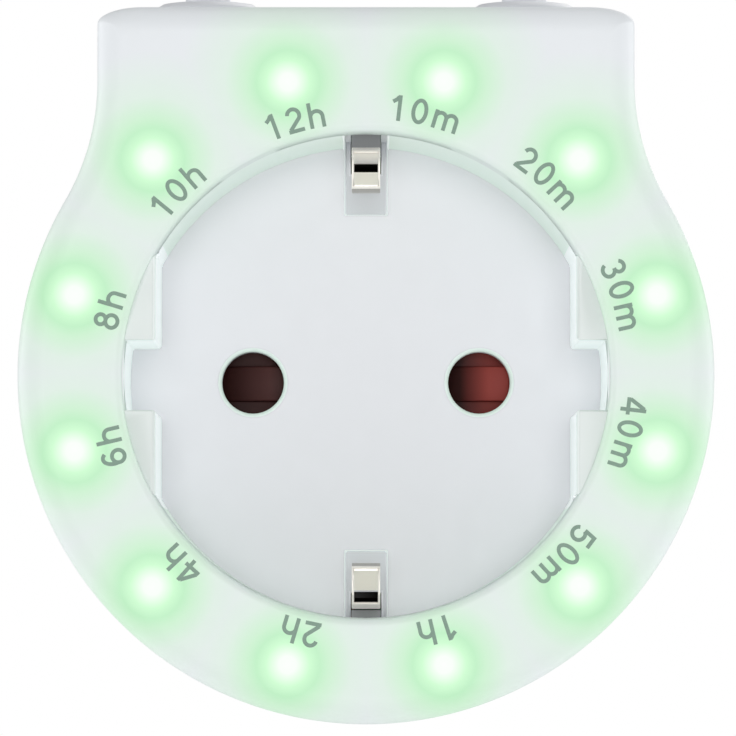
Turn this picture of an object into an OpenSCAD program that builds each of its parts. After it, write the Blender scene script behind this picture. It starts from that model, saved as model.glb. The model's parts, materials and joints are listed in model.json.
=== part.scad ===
// Plug-in countdown timer with a round earthed socket in front and a plug body behind.
// Frame: X to the right seen from the front, +Y into the wall, +Z up.
// Origin: on the plug's axis, where the rear face meets the wall. Units: millimetres.

/* [Shell] */
// Thickness of the side walls
wall = 2; // [1.8:0.1:2.4]
// Thickness of the front face
face_t = 2; // [1.6:0.1:3]
// Thickness of the rear wall
rear_t = 2; // [1.6:0.1:3]
// Bevel along the front edge
front_bevel = 0.9; // [0.4:0.1:1.4]
// Bevel along the rear edge
rear_bevel = 0.6; // [0.4:0.1:1.2]
// Half width of the flat-topped head
head_half_w = 22; // [21.6:0.1:23]
// Radius of the hollows where the head runs into the drum
waist_r = 19.5; // [15:0.5:21]
// Radius of the head's upper corners
corner_r = 2.8; // [2:0.1:3.4]
// Depth of the rear shell, from the wall to the parting line
rear_depth = 14; // [12:0.5:16]
// Length of the overlap at the parting line
seam_l = 2; // [1.5:0.1:3]

// Wall of the tubes around the screw heads
tube_wall = 0.6; // [0.5:0.1:0.8]

/* [Socket] */
// Radius of the round recess
socket_r = 19.8; // [19.6:0.1:21]
// Depth of the recess
socket_depth = 17.5; // [17.2:0.1:18.5]
// Distance of each flat from the axis
flat_x = 17.2; // [17:0.1:17.6]
// Width of the notch in each flat
notch_w = 5.7; // [5.4:0.1:6.4]
// How far the tops of the flats lie below the face
flat_drop = 0.6; // [0.3:0.1:1.2]
// Wall of the cup around the recess
cup_wall = 1.6; // [1.2:0.1:2]
// Thickness of the recess floor
cup_floor = 2.4; // [2:0.1:3]
// Bevel around the recess in the face
rim_bevel = 0.4; // [0.2:0.1:0.8]
// Bevel around each pin hole
hole_bevel = 0.3; // [0.1:0.1:0.5]

/* [Earth clips] */
// Width of the clip strip
clip_w = 2.35; // [2:0.05:2.8]
// Thickness of the clip strip
clip_t = 0.5; // [0.4:0.05:0.6]
// Room at each side of the clip in its groove
clip_side = 0.6; // [0.4:0.05:0.8]
// Room at each side of the clip in the slot behind it
clip_slot_side = 0.1; // [0.05:0.05:0.3]
// Depth of the clip's groove in the recess wall
clip_groove = 0.5; // [0.3:0.1:0.8]
// Gap between the clip's top and the recess wall
clip_inset = 0.7; // [0.5:0.05:0.9]
// How far the clip leans inwards towards its foot
clip_lean = 0.5; // [0.3:0.05:0.8]
// How far the hook rises in front of the bulge
hook_rise = 1.4; // [1:0.1:1.6]
// Size of the bends in the hook
hook_bend = 0.5; // [0.3:0.05:0.6]
// Length of the tongue behind the bulge
tongue_l = 8; // [6:0.5:9]
// How far the clip bulges in from the recess wall
clip_reach = 4.05; // [3.6:0.05:4.4]
// Depth of the bulge below the face
bulge_depth = 6; // [5:0.1:7]
// Width of the two side rails of the hook
rail_w = 0.32; // [0.25:0.01:0.4]
// Depth of the pocket under the clip
pocket_depth = 1.4; // [0.8:0.1:1.6]
// How far the pocket runs inwards past the bulge
pocket_run = 1.65; // [1:0.05:2]

/* [Plug] */
// Distance between the two plug pins
pin_spacing = 19; // [18.8:0.1:19.2]
// Diameter of a plug pin
pin_d = 4.8; // [4.7:0.1:5]
// Length of a plug pin in front of the plug body
pin_l = 19; // [18.5:0.1:20]
// Bevel at the tip of a plug pin
pin_tip = 1; // [0.5:0.1:1.4]
// Radius of the plug body
plug_r = 18.5; // [18:0.1:19]
// Length of the plug body
plug_l = 17.2; // [16.5:0.1:18]
// Distance of the plug body's flats from the axis
plug_flat_x = 16.9; // [16.5:0.1:17.2]
// Width of the rib on each flat
plug_rib_w = 5.3; // [4.8:0.1:5.5]
// Wall of the hollow plug body
plug_wall = 2; // [1.6:0.1:2.4]
// Thickness of the plug body's end wall
plug_end = 2.4; // [2:0.1:3]
// Width of the channel for each side contact
channel_w = 5.2; // [4.8:0.1:5.6]
// Depth of the channel for each side contact
channel_depth = 2.9; // [2.6:0.1:3.2]
// Width of the side contact strip
side_strip_w = 4; // [3.4:0.1:4.4]
// Thickness of the side contact strip
side_strip_t = 0.6; // [0.5:0.05:0.8]
// How far the side contact lies below the plug body's surface
side_strip_drop = 2; // [1.8:0.1:2.1]
// How much wider a pin's seat in the end wall is than the pin, on the radius
pin_seat_w = 0.2; // [0.2:0.05:0.4]
// How far that seat stands out of the plug body
pin_seat_h = 0.1; // [0.1:0.05:0.3]
// Radius of a pin's collar
collar_r = 3.4; // [3:0.1:3.8]
// Height of a pin's collar
collar_h = 2; // [1.5:0.1:2.5]
// Radius of a pin's shank
shank_r = 1.6; // [1.4:0.05:1.8]
// Height of the rivet at the back of a pin
pin_rivet_h = 0.6; // [0.4:0.1:0.8]
// How far that rivet reaches past the shank
pin_rivet_w = 0.7; // [0.5:0.1:0.75]
// Place of each post that carries the pin block
carrier_post_at = [6.5, 9.5]; // [5.5:0.5:10]
// Radius of those posts
carrier_post_r = 1.8; // [1.4:0.1:2]
// Thickness of the block that carries the pins
carrier_t = 3; // [2.5:0.1:4]

/* [Shutter] */
// Height of the slider
slider_t = 2.2; // [2:0.1:2.6]
// Thickness of the slider's flat plate
slider_plate_t = 0.9; // [0.7:0.1:1.1]
// Half width of the slider
slider_half_w = 3.6; // [3.4:0.1:4]
// How far a pad covers past the rim of its pin hole
pad_cover = 0.2; // [0.1:0.05:0.4]
// Width of the rims along the slider's windows
slider_rim = 0.8; // [0.6:0.1:1]
// Width of the rails at both ends of the slider
end_rail = 1; // [0.8:0.1:1.2]
// Half width of the ramp on a pad
ramp_half_w = 1.45; // [1.2:0.05:2]
// Radius of the return spring
spring_r = 0.9; // [0.7:0.05:1]
// Wire radius of the return spring
spring_wire_r = 0.16; // [0.12:0.01:0.2]
// Number of turns of the return spring
spring_turns = 11; // [8:1:14]
// Wall around the shutter chamber
chamber_wall = 1.2; // [1:0.1:1.4]

/* [Contacts] */
// Thickness of the plate that closes the shutter chamber
block_t = 1.6; // [1.4:0.1:2]
// Wall around each contact pocket
pocket_wall = 1.1; // [0.9:0.1:1.4]
// Wall of a contact sleeve
sleeve_t = 0.5; // [0.4:0.05:0.6]
// Length of a contact sleeve that has no slits
sleeve_ring = 3; // [2:0.5:4]
// How far a contact sleeve ends before the tip of a plug pin
sleeve_short = 0.8; // [0.4:0.1:1]
// Width of the slits in a contact sleeve
slit_w = 0.8; // [0.6:0.1:1]
// Width of the contact's tail
tail_w = 2.4; // [2:0.1:2.8]
// Radius of the post that joins both earth strips
link_r = 2; // [1.8:0.1:2.2]
// Radius of the rivet ends of that post
rivet_r = 1.5; // [1.2:0.1:1.6]
// Radius of its rivet heads
rivet_head_r = 2.4; // [2.1:0.1:2.5]
// Height of its rivet heads
rivet_head_h = 0.6; // [0.4:0.1:0.7]
// Thickness of the mains strips
busbar_t = 0.8; // [0.6:0.1:1]
// Width of the mains strips
busbar_w = 5; // [4.6:0.1:5.6]
// Length of the mains strips from pin to board tab
busbar_l = 8.6; // [8.2:0.1:9]

/* [Boards] */
// How far leads and tabs stand past a board
solder_h = 0.4; // [0.2:0.1:0.6]
// Thickness of the main board and the button board
board_t = 1.6; // [1.2:0.1:1.8]
// Space behind the main board
board_gap = 2; // [1.6:0.1:2.6]
// Space between a plugged-in pin's tip and the main board
tip_gap = 0.9; // [0.6:0.1:1.5]
// Gap between the main board and the side wall
board_edge_gap = 0.5; // [0.3:0.1:0.8]
// Width of the ring-shaped light board
ring_board_w = 4.4; // [4.2:0.1:5]
// Thickness of the light board
ring_board_t = 1.2; // [0.8:0.1:1.4]
// Gap between the light board and the cup
ring_inner_gap = 0.4; // [0.3:0.1:0.8]
// Gap between the light board and the side wall
ring_outer_gap = 0.3; // [0.2:0.1:0.6]
// Radius of the posts that carry the light board
ring_post_r = 2.1; // [1.8:0.1:2.1]
// Gap between the button board and the socket cup
button_board_gap = 0.3; // [0.2:0.1:0.5]
// Gap at each end of the button board
button_board_side = 2; // [1.5:0.1:3]
// Board in front of the switches
button_board_front = 2; // [1.5:0.1:3]
// Depth of the button board, along the shell
button_board_l = 11.5; // [10:0.5:12]
// Thickness of the flat leads
ribbon_t = 0.9; // [0.7:0.1:1]
// Number of wires in each flat lead
ribbon_wires = 5; // [3:1:5]

/* [Relay] */
// Length of the relay
relay_l = 17.8; // [17.8:0.1:19]
// Width of the relay
relay_w = 10.1; // [10:0.1:10.6]
// Height of the relay
relay_h = 12.3; // [12:0.1:12.5]
// Wall of the relay's cover
relay_wall = 0.5; // [0.4:0.05:0.6]
// Thickness of the relay's base
relay_base_t = 1.2; // [1:0.1:1.6]
// Room under the relay's cover, in front of the armature
relay_headroom = 1.4; // [1:0.1:2]
// Radius of the bobbin's flanges
bobbin_r = 4; // [3.8:0.1:4.1]
// Radius of the winding
winding_r = 3.6; // [3:0.1:3.7]
// Radius of the iron core
core_r = 1.6; // [1.2:0.1:2]
// Thickness of the yoke and the armature
iron_t = 0.8; // [0.6:0.1:1]
// Gap between the core and the open armature
core_gap = 0.3; // [0.3:0.05:0.4]

/* [Components] */
// Gap between the components and the contact block
part_gap = 1.75; // [1:0.05:2]
// Length, width and height of the film capacitor
film_cap = [15, 7, 11]; // [10:0.5:15]
// Radius of the electrolytic capacitor
can_r = 4; // [3:0.1:4.2]
// Height of the electrolytic capacitor
can_h = 11.5; // [8:0.5:12]
// Radius of the varistor's disc
varistor_r = 4.5; // [3.5:0.1:4.5]
// Thickness of the varistor's disc
varistor_t = 3.5; // [2.5:0.1:3.5]
// Radius of the fuse
fuse_r = 4.1; // [3.5:0.1:4.1]
// Height of the fuse
fuse_h = 7.5; // [6:0.5:8]
// Radius of a small axial component
axial_r = 1.2; // [0.8:0.1:1.3]
// Body length of a small axial component
axial_l = 3.8; // [3.4:0.1:4.2]
// Distance between a varistor's leads
varistor_pitch = 5; // [4:0.5:6]
// Radius of the transistor
transistor_r = 2.4; // [2:0.1:2.5]
// Height of the transistor
transistor_h = 5; // [4:0.5:6]
// Side of the microcontroller
chip_w = 5.2; // [4.8:0.2:5.4]
// Wire radius of a small component
lead_r = 0.3; // [0.2:0.05:0.4]

/* [Lights] */
// Number of lights around the socket
led_count = 12; // [8:2:12]
// Radius of a light's lens
led_r = 1.5; // [1.2:0.1:1.5]
// Height of a light over its board
led_h = 4.5; // [4:0.1:5.5]
// Plastic left in front of each light
led_skin = 0.5; // [0.4:0.1:0.8]
// Room around a light in its well
led_room = 0.25; // [0.15:0.05:0.3]

/* [Buttons] */
// Distance of each button's axis from the side of the head
button_inset = 8.7; // [8.6:0.1:9]
// Distance of the buttons behind the face
button_depth = 17.5; // [15:0.5:17.5]
// Radius of a button
button_r = 4.5; // [4:0.1:4.6]
// Height of a button's straight rim over the shell
button_rise = 1.5; // [1:0.1:2.5]
// Height of the dome on a button
dome_h = 0.6; // [0.3:0.1:1.2]
// Radius of the round nub on a button
nub_r = 1.8; // [1.2:0.1:2.5]
// Height of the nub over the dome
nub_h = 0.5; // [0.2:0.1:0.8]
// Width of the flange that keeps a button in the shell
button_flange = 0.9; // [0.6:0.1:1]
// Thickness of that flange
flange_t = 0.8; // [0.5:0.1:0.9]
// Wall of a button
button_wall = 1.2; // [0.9:0.1:1.4]
// Travel of a button
button_travel = 0.4; // [0.25:0.05:0.5]
// Side of a switch's square body
switch_w = 6; // [5.6:0.1:6]
// Height of a switch's body
switch_h = 3.3; // [3:0.1:3.6]
// Height of a switch's plunger over its body
plunger_h = 1; // [0.8:0.1:1.2]
// Radius of a switch's plunger
plunger_r = 1.7; // [1.4:0.1:1.8]
// Gap between a switch's plunger and the underside of the top wall
top_gap = 0.6; // [0.5:0.1:1]

/* [Fasteners] */
// Radius of a housing screw's shank
housing_screw_r = 1.4; // [1.2:0.1:1.5]
// Length of a housing screw's shank
housing_screw_l = 18; // [16:0.5:20]
// Radius of a housing screw's head
housing_head_r = 2.5; // [2.2:0.1:2.5]
// Height of a housing screw's head
housing_head_h = 1.8; // [1.4:0.1:2.2]
// Depth of the screw seats behind the rear face
screw_seat = 6; // [5:0.5:7]
// Wall of the screw bosses
boss_wall = 0.85; // [0.8:0.05:0.9]
// Radius of a small screw's shank
small_screw_r = 0.9; // [0.7:0.1:0.9]
// Radius of a small screw's head
small_head_r = 1.6; // [1.4:0.1:1.6]
// Height of a small screw's head
small_head_h = 1; // [0.7:0.1:1.1]

/* [Clearances] */
// Gap between a screw's tip and the end of its hole
screw_tip_gap = 0.3; // [0.2:0.1:0.5]
// Gap between pieces that are fitted together
fit_gap = 0.1; // [0.05:0.05:0.15]
// Radial gap of round pieces in their holes
run_gap = 0.05; // [0.03:0.01:0.1]
// Gap around pieces that move
slide_gap = 0.2; // [0.15:0.05:0.3]
// Radial gap between a plug pin and a socket hole
hole_gap = 0.2; // [0.15:0.05:0.3]

/* [Hidden] */
$fn = 64;
eps = 0.5; // how far a cutter reaches past what it cuts
merge = 0.2; // how far joined forms reach into each other

// Places along Y, from the wall forwards
board_back = -(rear_t + board_gap);
board_front = board_back - board_t;
tip_y = board_front - tip_gap;
floor_y = tip_y - pin_l;
floor_back = floor_y + cup_floor;
face_y = floor_y - socket_depth;
face_back = face_y + face_t;
parting_y = -rear_depth;
slider_y0 = floor_back + slide_gap;
slider_y1 = slider_y0 + slider_t;
block_y0 = slider_y1 + slide_gap;
block_y1 = block_y0 + block_t;
pocket_end = tip_y - sleeve_short;
button_y = face_y + button_depth;
led_top_y = face_y + led_skin + led_room;
ring_board_y = led_top_y + led_h;
pin_end_y = plug_l - plug_end;
collar_y = pin_end_y - collar_h;
pin_block_y = collar_y - carrier_t;
seat_y = -screw_seat;
screw_end_y = seat_y - housing_screw_l - screw_tip_gap;

// Radii around the socket axis
cup_r = socket_r + cup_wall;
ring_r0 = cup_r + ring_inner_gap;
ring_r1 = ring_r0 + ring_board_w;
body_r = ring_r1 + ring_outer_gap + wall;
led_ring_r = ring_r1 - led_r - run_gap;
ring_post_ring = (ring_r0 + ring_r1) / 2;
board_r = body_r - wall - board_edge_gap;
boss_r = housing_screw_r + run_gap + boss_wall;
screw_ring_r = body_r - wall - boss_r + merge;
tube_r = housing_head_r + fit_gap + tube_wall;
hole_r = pin_d / 2 + hole_gap;
pin_x = pin_spacing / 2;
ring_post_angles = [30, 150, 210, 330];

// Places in the head
button_x = head_half_w - button_inset;
button_board_z = cup_r + button_board_gap;
switch_z = button_board_z + board_t;
cap_z = switch_z + switch_h + plunger_h;
head_top = cap_z + top_gap + wall;
top_inner = head_top - wall;
button_board_half = head_half_w - wall - button_board_side;
button_board_y0 = button_y - switch_w / 2 - button_board_front;
button_board_y1 = button_board_y0 + button_board_l;
pillar_inset = 7; // from a button's axis to the screw pillar beside it
pillar_x = button_x - pillar_inset;
pillar_y = button_y + 3.9; // behind the switches
pillar_wall = 0.8;
pillar_r = small_screw_r + pillar_wall;

// The hollows beside the head
dip = 0.03; // how far they cut into the drum, so that the two curves cross
dip_angle = 4; // how far the bevels along both curves run past that crossing
waist_x = head_half_w + waist_r;
waist_z = sqrt(pow(body_r + waist_r - dip, 2) - pow(waist_x, 2));
waist_angle = atan2(waist_z, waist_x);
screw_angles = [waist_angle, 180 - waist_angle, 210, 330];

// Earth strips
clip_top = socket_r - clip_inset;
clip_foot = clip_top - clip_lean;
clip_apex = socket_r - clip_reach + clip_t / 2;
clip_groove_half = clip_w / 2 + clip_side;
clip_groove_r = socket_r + clip_groove;
clip_slot_half = clip_w / 2 + clip_slot_side;
slot_r0 = clip_foot - clip_t - eps;
cross_half_w = 2;
earth_y = block_y1 + clip_t / 2;
bulge_y = face_y + bulge_depth;
side_y = 1.7; // middle of the rear strap, behind the rear face
side_r = plug_r - side_strip_drop - side_strip_t / 2;
channel_r = plug_r - channel_depth;
channel_wall = 1.6;
cavity_r = plug_r - plug_wall;
cavity_x = plug_flat_x - plug_wall;

// Shutter
pad_half = hole_r + pad_cover;
shutter_travel = 2 * pad_half;
slider_x0 = -pin_x - pad_half - shutter_travel - end_rail;
slider_x1 = pin_x + pad_half + end_rail;
ramp_top_x = 0.6; // where a ramp reaches its full height, from the hole's axis
lug_x = -7; // left side of the lug that the spring pushes on
lug_w = 1.2;
spring_side = 0.3;
spring_z = slider_half_w + slide_gap + spring_r + spring_side;
lug_z1 = spring_z + spring_r;
stop_x = 9; // face of the wall that holds the spring's fixed end
stop_w = 1;
chamber_x = slider_x1 + shutter_travel + slide_gap;
chamber_z0 = -slider_half_w - slide_gap;
chamber_z1 = lug_z1 + slide_gap;
ear_x = 12; // screw ears beside the shutter chamber
ear_wall = 1.3;
ear_sink = 0.6;
ear_r = small_screw_r + ear_wall;
ear_z0 = chamber_z0 - chamber_wall - ear_r + ear_sink;
ear_z1 = chamber_z1 + chamber_wall + ear_r - ear_sink;
ears = [for (x = [-ear_x, ear_x], z = [ear_z0, ear_z1]) [x, z]];

// Contacts
sleeve_r0 = pin_d / 2 + run_gap;
sleeve_r1 = sleeve_r0 + sleeve_t;
bore_r = sleeve_r1 + fit_gap;
pocket_half = bore_r + pocket_wall;
sleeve_y0 = block_y0 + block_t / 2;
tail_end_y = board_back + solder_h;
tail_z = sqrt(pow(sleeve_r0, 2) - pow(tail_w / 2, 2));
busbar_y = 3; // rear side of the mains strips, behind the rear face
tab_w = 3; // width of their board tabs

// Relay
relay_z = pocket_half + part_gap + relay_w / 2;
relay_top_y = board_front - relay_h + relay_wall;
relay_foot_y = board_front - relay_base_t;
armature_y = relay_top_y + relay_headroom;
core_y = armature_y + iron_t + core_gap;
yoke_side = 0.4; // room between the yoke and the cover
yoke_x = -relay_l / 2 + relay_wall + yoke_side;
yoke_half_w = bobbin_r - 0.8;
armature_half_w = bobbin_r - 1.2;
bobbin_x = yoke_x + iron_t + slide_gap + bobbin_r;
armature_x1 = bobbin_x + bobbin_r + 0.6;
cheek_t = 0.7; // thickness of the bobbin's flanges
contact_inset = 2.8; // room for the fixed contact's bracket
contact_x = relay_l / 2 - relay_wall - contact_inset;
contact_r = 0.8;
contact_h = 0.5;
contact_gap = 0.55;
blade_t = 0.25; // spring blade that carries the moving contact
blade_half_w = 1.5;
blade_y = armature_y + iron_t;
bracket_half_w = 2; // bent strip that carries the fixed contact
bracket_t = 0.4;
bracket_leg_t = 0.6;

// Small components
film_z = -pocket_half - part_gap - film_cap[1];
can_at = [12.5, -15];
fuse_at = [-5, -19.5];
varistor_at = [-12.6, -13];
diode_xs = [-8.6, -5.9, -3.2, 3.2];
diode_z = relay_z + relay_w / 2 + 1.5;
transistor_at = [14, 11.5];
axial_end = 0.6; // straight wire at each end before its bend
part_lift = 0.3; // gap between an axial component and the board
resistor_inset = 8.5; // from the board's edge to the inner row of resistors
resistor_x = board_r - resistor_inset;
resistor_at = [[resistor_x, 3], [resistor_x + 3, 3], [-resistor_x, 3], [-resistor_x, -4.6]];
top_screw_inset = 4.5; // from the board's edge to its upper screw
low_screw_a = 28; // angle of the lower screws from straight down
low_screw_r = board_r - small_head_r;
board_screw_at = concat([[0, board_r - top_screw_inset]], [for (s = [-1, 1])
    [s * low_screw_r * sin(low_screw_a), -low_screw_r * cos(low_screw_a)]]);
board_post_r = 2.3;
led_ribbon_x = -ring_post_ring; // on the middle line of the light board
button_ribbon_x = pillar_x - ribbon_t / 2; // first wire of the button board's lead
wire_pitch = 0.8 * ribbon_t; // wires of a flat lead run into each other

// Switches, chip and button caps
plunger_sink = 1;
plunger_well = 1.6;
chip_h = 1.5;
chip_pins = 4; // on each side
chip_pin_pitch = 1.27;
chip_pin_w = 0.4;
chip_pin_l = 0.8;
chip_y = button_y - 2;
dome_steps = 6;

// ---------------------------------------------------------------- helpers

// Extrudes a drawing in the X-Z plane from y0 to y1.
module along_y(y0, y1) {
    translate([0, y1, 0]) rotate([90, 0, 0]) linear_extrude(y1 - y0) children();
}

// Extrudes a drawing in the Y-Z plane from x0 to x1.
module along_x(x0, x1) {
    translate([x0, 0, 0]) rotate([90, 0, 90]) linear_extrude(x1 - x0) children();
}

// Cylinder along Y.
module rod(x, z, y0, y1, r) {
    translate([x, y1, z]) rotate([90, 0, 0]) cylinder(h = y1 - y0, r = r);
}

// Block between two corners.
module block(a, b) {
    translate(a) cube(b - a);
}

// Strip of even thickness along a path, as a flat drawing.
module path_strip(points, t) {
    for (i = [0 : len(points) - 2]) {
        step = points[i + 1] - points[i];
        translate(points[i]) rotate(atan2(step.y, step.x))
            translate([0, -t / 2]) square([norm(step), t]);
    }
    for (p = points) translate(p) circle(t / 2);
}

// Screw along -Y or +Y, with its head's underside at y.
module screw_y(x, z, y, direction, r, l, head_r, head_h) {
    rod(x, z, min(y, y + direction * l), max(y, y + direction * l), r);
    rod(x, z, min(y, y - direction * head_h), max(y, y - direction * head_h), head_r);
}

// Outline of the shell in the X-Z plane, moved inwards by inset.
module outline(inset) {
    w = head_half_w - inset;
    top = head_top - inset;
    c = max(corner_r - inset, 0.4);
    circle(body_r - inset, $fn = 128);
    difference() {
        polygon([[0, 0], [waist_x, waist_z], [-waist_x, waist_z]]);
        for (s = [-1, 1]) translate([s * waist_x, waist_z]) circle(waist_r + inset, $fn = 128);
    }
    translate([-w, waist_z]) square([2 * w, top - c - waist_z]);
    translate([c - w, waist_z]) square([2 * (w - c), top - waist_z]);
    for (s = [-1, 1]) translate([s * (w - c), top - c]) circle(c);
}

// Triangle that cuts a bevel: u is the distance from the edge line, outwards positive.
function bevel_profile(at, outward, y, inward, bevel) = [
    [at - outward * (bevel + eps), -(y - inward * eps)],
    [at + outward * eps, -(y - inward * eps)],
    [at + outward * eps, -(y + inward * (bevel + eps))]
];

// Ring-shaped bevel cutter around an axis along Y, between two angles from +X.
module bevel_arc(x, z, r, outward, from, to, y, inward, bevel) {
    translate([x, 0, z]) rotate([90, 0, 0]) rotate([0, 0, from])
        rotate_extrude(angle = to - from, $fn = 128)
            polygon(bevel_profile(r, outward, y, inward, bevel));
}

// All bevel cutters along the shell's outline at depth y; inward is the body's side along Y.
module outline_bevel(y, inward, bevel) {
    bevel_arc(0, 0, body_r, 1, 180 - waist_angle - dip_angle, 360 + waist_angle + dip_angle,
              y, inward, bevel);
    for (s = [0, 1]) mirror([s, 0, 0]) {
        bevel_arc(waist_x, waist_z, waist_r, -1, 180, 180 + waist_angle + dip_angle,
                  y, inward, bevel);
        bevel_arc(head_half_w - corner_r, head_top - corner_r, corner_r, 1, 0, 90, y, inward, bevel);
        translate([0, 0, waist_z]) linear_extrude(head_top - corner_r - waist_z)
            polygon([for (p = bevel_profile(head_half_w, 1, y, inward, bevel)) [p.x, -p.y]]);
    }
    along_x(corner_r - head_half_w, head_half_w - corner_r)
        polygon([for (p = bevel_profile(head_top, 1, y, inward, bevel)) [-p.y, p.x]]);
}

// Places children at each light, turned about the socket axis.
module at_angle(r, a) {
    translate([r * cos(a), 0, r * sin(a)]) children();
}

// ---------------------------------------------------------------- shells

module front_housing() color("whitesmoke") {
    difference() {
        union() {
            difference() {
                along_y(face_y, parting_y) outline(0);
                along_y(face_back, parting_y - seam_l + eps) outline(wall);
                along_y(parting_y - seam_l, parting_y + eps) outline(wall / 2);
            }
            for (a = screw_angles) at_angle(screw_ring_r, a)
                rod(0, 0, screw_end_y - face_t, parting_y - seam_l, boss_r);
            for (s = [-1, 1]) translate([s * pillar_x, pillar_y, switch_z])
                cylinder(h = top_inner - switch_z + eps, r = pillar_r);
        }
        outline_bevel(face_y, 1, front_bevel);
        rod(0, 0, face_y - eps, face_back + eps, socket_r + slide_gap, $fn = 128);
        translate([0, face_y - eps, 0]) rotate([-90, 0, 0])
            cylinder(h = rim_bevel + eps, r1 = socket_r + slide_gap + rim_bevel + eps,
                     r2 = socket_r + slide_gap, $fn = 128);
        for (i = [1 : led_count]) at_angle(led_ring_r, led_angle(i))
            rod(0, 0, face_y + led_skin, face_back + eps, led_r + led_room);
        for (s = [-1, 1]) {
            translate([s * button_x, button_y, top_inner - eps])
                cylinder(h = wall + 2 * eps, r = button_r + slide_gap);
            translate([s * pillar_x, pillar_y, switch_z - eps])
                cylinder(h = top_inner - switch_z, r = small_screw_r + run_gap);
        }
        for (a = screw_angles) at_angle(screw_ring_r, a)
            rod(0, 0, screw_end_y, parting_y, housing_screw_r + run_gap);
    }
}

module plug_outline() {
    difference() {
        circle(plug_r, $fn = 128);
        for (s = [0, 1], t = [0, 1]) mirror([s, 0]) mirror([0, t])
            translate([plug_flat_x, plug_rib_w / 2]) square([plug_r, plug_r]);
    }
}

// Hollow of the plug body, moved inwards by inset.
module plug_hollow(inset) {
    difference() {
        circle(cavity_r - inset, $fn = 128);
        for (s = [0, 1]) mirror([s, 0]) translate([cavity_x - inset, -plug_r]) square(2 * plug_r);
        for (t = [0, 1]) mirror([0, t])
            translate([-channel_w / 2 - channel_wall - inset, channel_r - channel_wall - inset])
                square([channel_w + 2 * (channel_wall + inset), plug_r]);
    }
}

module rear_housing() color("whitesmoke") {
    tongue_end = parting_y - seam_l + fit_gap;
    difference() {
        union() {
            difference() {
                along_y(parting_y, 0) outline(0);
                along_y(parting_y - eps, -rear_t) outline(wall);
            }
            difference() {
                along_y(tongue_end, parting_y + eps) outline(wall / 2 + fit_gap);
                along_y(tongue_end - eps, parting_y + 2 * eps) outline(wall);
            }
            along_y(-rear_t, plug_l) plug_outline();
            for (a = screw_angles) at_angle(screw_ring_r, a) {
                rod(0, 0, parting_y, -rear_t / 2, tube_r);
                rod(0, 0, tongue_end, parting_y + eps, boss_r);
            }
            for (p = board_screw_at) rod(p.x, p.y, board_back, -rear_t / 2, board_post_r);
        }
        outline_bevel(0, -1, rear_bevel);
        along_y(-rear_t - eps, pin_end_y) plug_hollow(0);
        for (s = [-1, 1]) {
            rod(s * pin_x, 0, pin_end_y - eps, plug_l + eps, pin_d / 2 + pin_seat_w + run_gap);
            translate([-channel_w / 2, eps, s > 0 ? channel_r : -channel_r - plug_r])
                cube([channel_w, plug_l, plug_r]);
            translate([-side_strip_w / 2 - fit_gap, side_y - side_strip_t / 2 - fit_gap,
                       s > 0 ? channel_r - channel_wall - eps : -channel_r - eps])
                cube([side_strip_w + 2 * fit_gap, side_strip_t + 2 * fit_gap,
                      channel_wall + 2 * eps]);
        }
        for (a = screw_angles) at_angle(screw_ring_r, a) {
            rod(0, 0, seat_y, eps, housing_head_r + fit_gap);
            rod(0, 0, tongue_end - eps, seat_y + eps, housing_screw_r + run_gap);
        }
        for (p = board_screw_at)
            rod(p.x, p.y, board_back - eps, -rear_t / 2, small_screw_r + run_gap);
    }
}

// ---------------------------------------------------------------- socket

module socket_cup() color("gainsboro") {
    difference() {
        union() {
            difference() {
                rod(0, 0, face_back, floor_back, cup_r, $fn = 128);
                rod(0, 0, face_back - eps, floor_y, socket_r, $fn = 128);
            }
            difference() {
                along_y(face_y + flat_drop, floor_y + eps) cup_flats();
                along_y(face_y, floor_y)
                    translate([-socket_r, -notch_w / 2]) square([2 * socket_r, notch_w]);
            }
            for (a = ring_post_angles) {
                at_angle(ring_post_ring, a) rod(0, 0, face_back, ring_board_y, ring_post_r);
                rotate([0, -a, 0]) block([cup_r - cup_wall / 2, face_back, -cup_wall / 2],
                                         [ring_post_ring, ring_board_y, cup_wall / 2]);
            }
            difference() {
                block([-chamber_x - chamber_wall, floor_back - eps, chamber_z0 - chamber_wall],
                      [chamber_x + chamber_wall, block_y0, chamber_z1 + chamber_wall]);
                block([-chamber_x, floor_back - 2 * eps, chamber_z0],
                      [chamber_x, block_y0 + eps, chamber_z1]);
            }
            block([stop_x, floor_back - eps, slider_half_w + slide_gap],
                  [stop_x + stop_w, block_y0, chamber_z1 + eps]);
            for (e = ears) rod(e.x, e.y, floor_back - eps, block_y0, ear_r);
        }
        for (s = [-1, 1]) {
            rod(s * pin_x, 0, floor_y - eps, floor_back + eps, hole_r);
            translate([s * pin_x, floor_y - eps, 0]) rotate([-90, 0, 0])
                cylinder(h = hole_bevel + eps, r1 = hole_r + hole_bevel + eps, r2 = hole_r);
            block([-clip_slot_half, face_y, s > 0 ? slot_r0 : -ring_r0],
                  [clip_slot_half, floor_back + eps, s > 0 ? ring_r0 : -slot_r0]);
            block([-clip_groove_half, face_y, s > 0 ? pocket_r0() : -clip_groove_r],
                  [clip_groove_half, floor_y + pocket_depth, s > 0 ? clip_groove_r : -pocket_r0()]);
        }
        for (e = ears)
            rod(e.x, e.y, floor_back - cup_floor / 2, block_y0 + eps, small_screw_r + run_gap);
        for (a = ring_post_angles) at_angle(ring_post_ring, a)
            rod(0, 0, face_back + eps, ring_board_y + eps, small_screw_r + run_gap);
    }
}

// Segments between the flats and the round recess wall.
module cup_flats() {
    difference() {
        circle(socket_r + slide_gap - run_gap, $fn = 128);
        translate([-flat_x, -2 * socket_r]) square([2 * flat_x, 4 * socket_r]);
    }
}

function pocket_r0() = socket_r - clip_reach - pocket_run;

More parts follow.
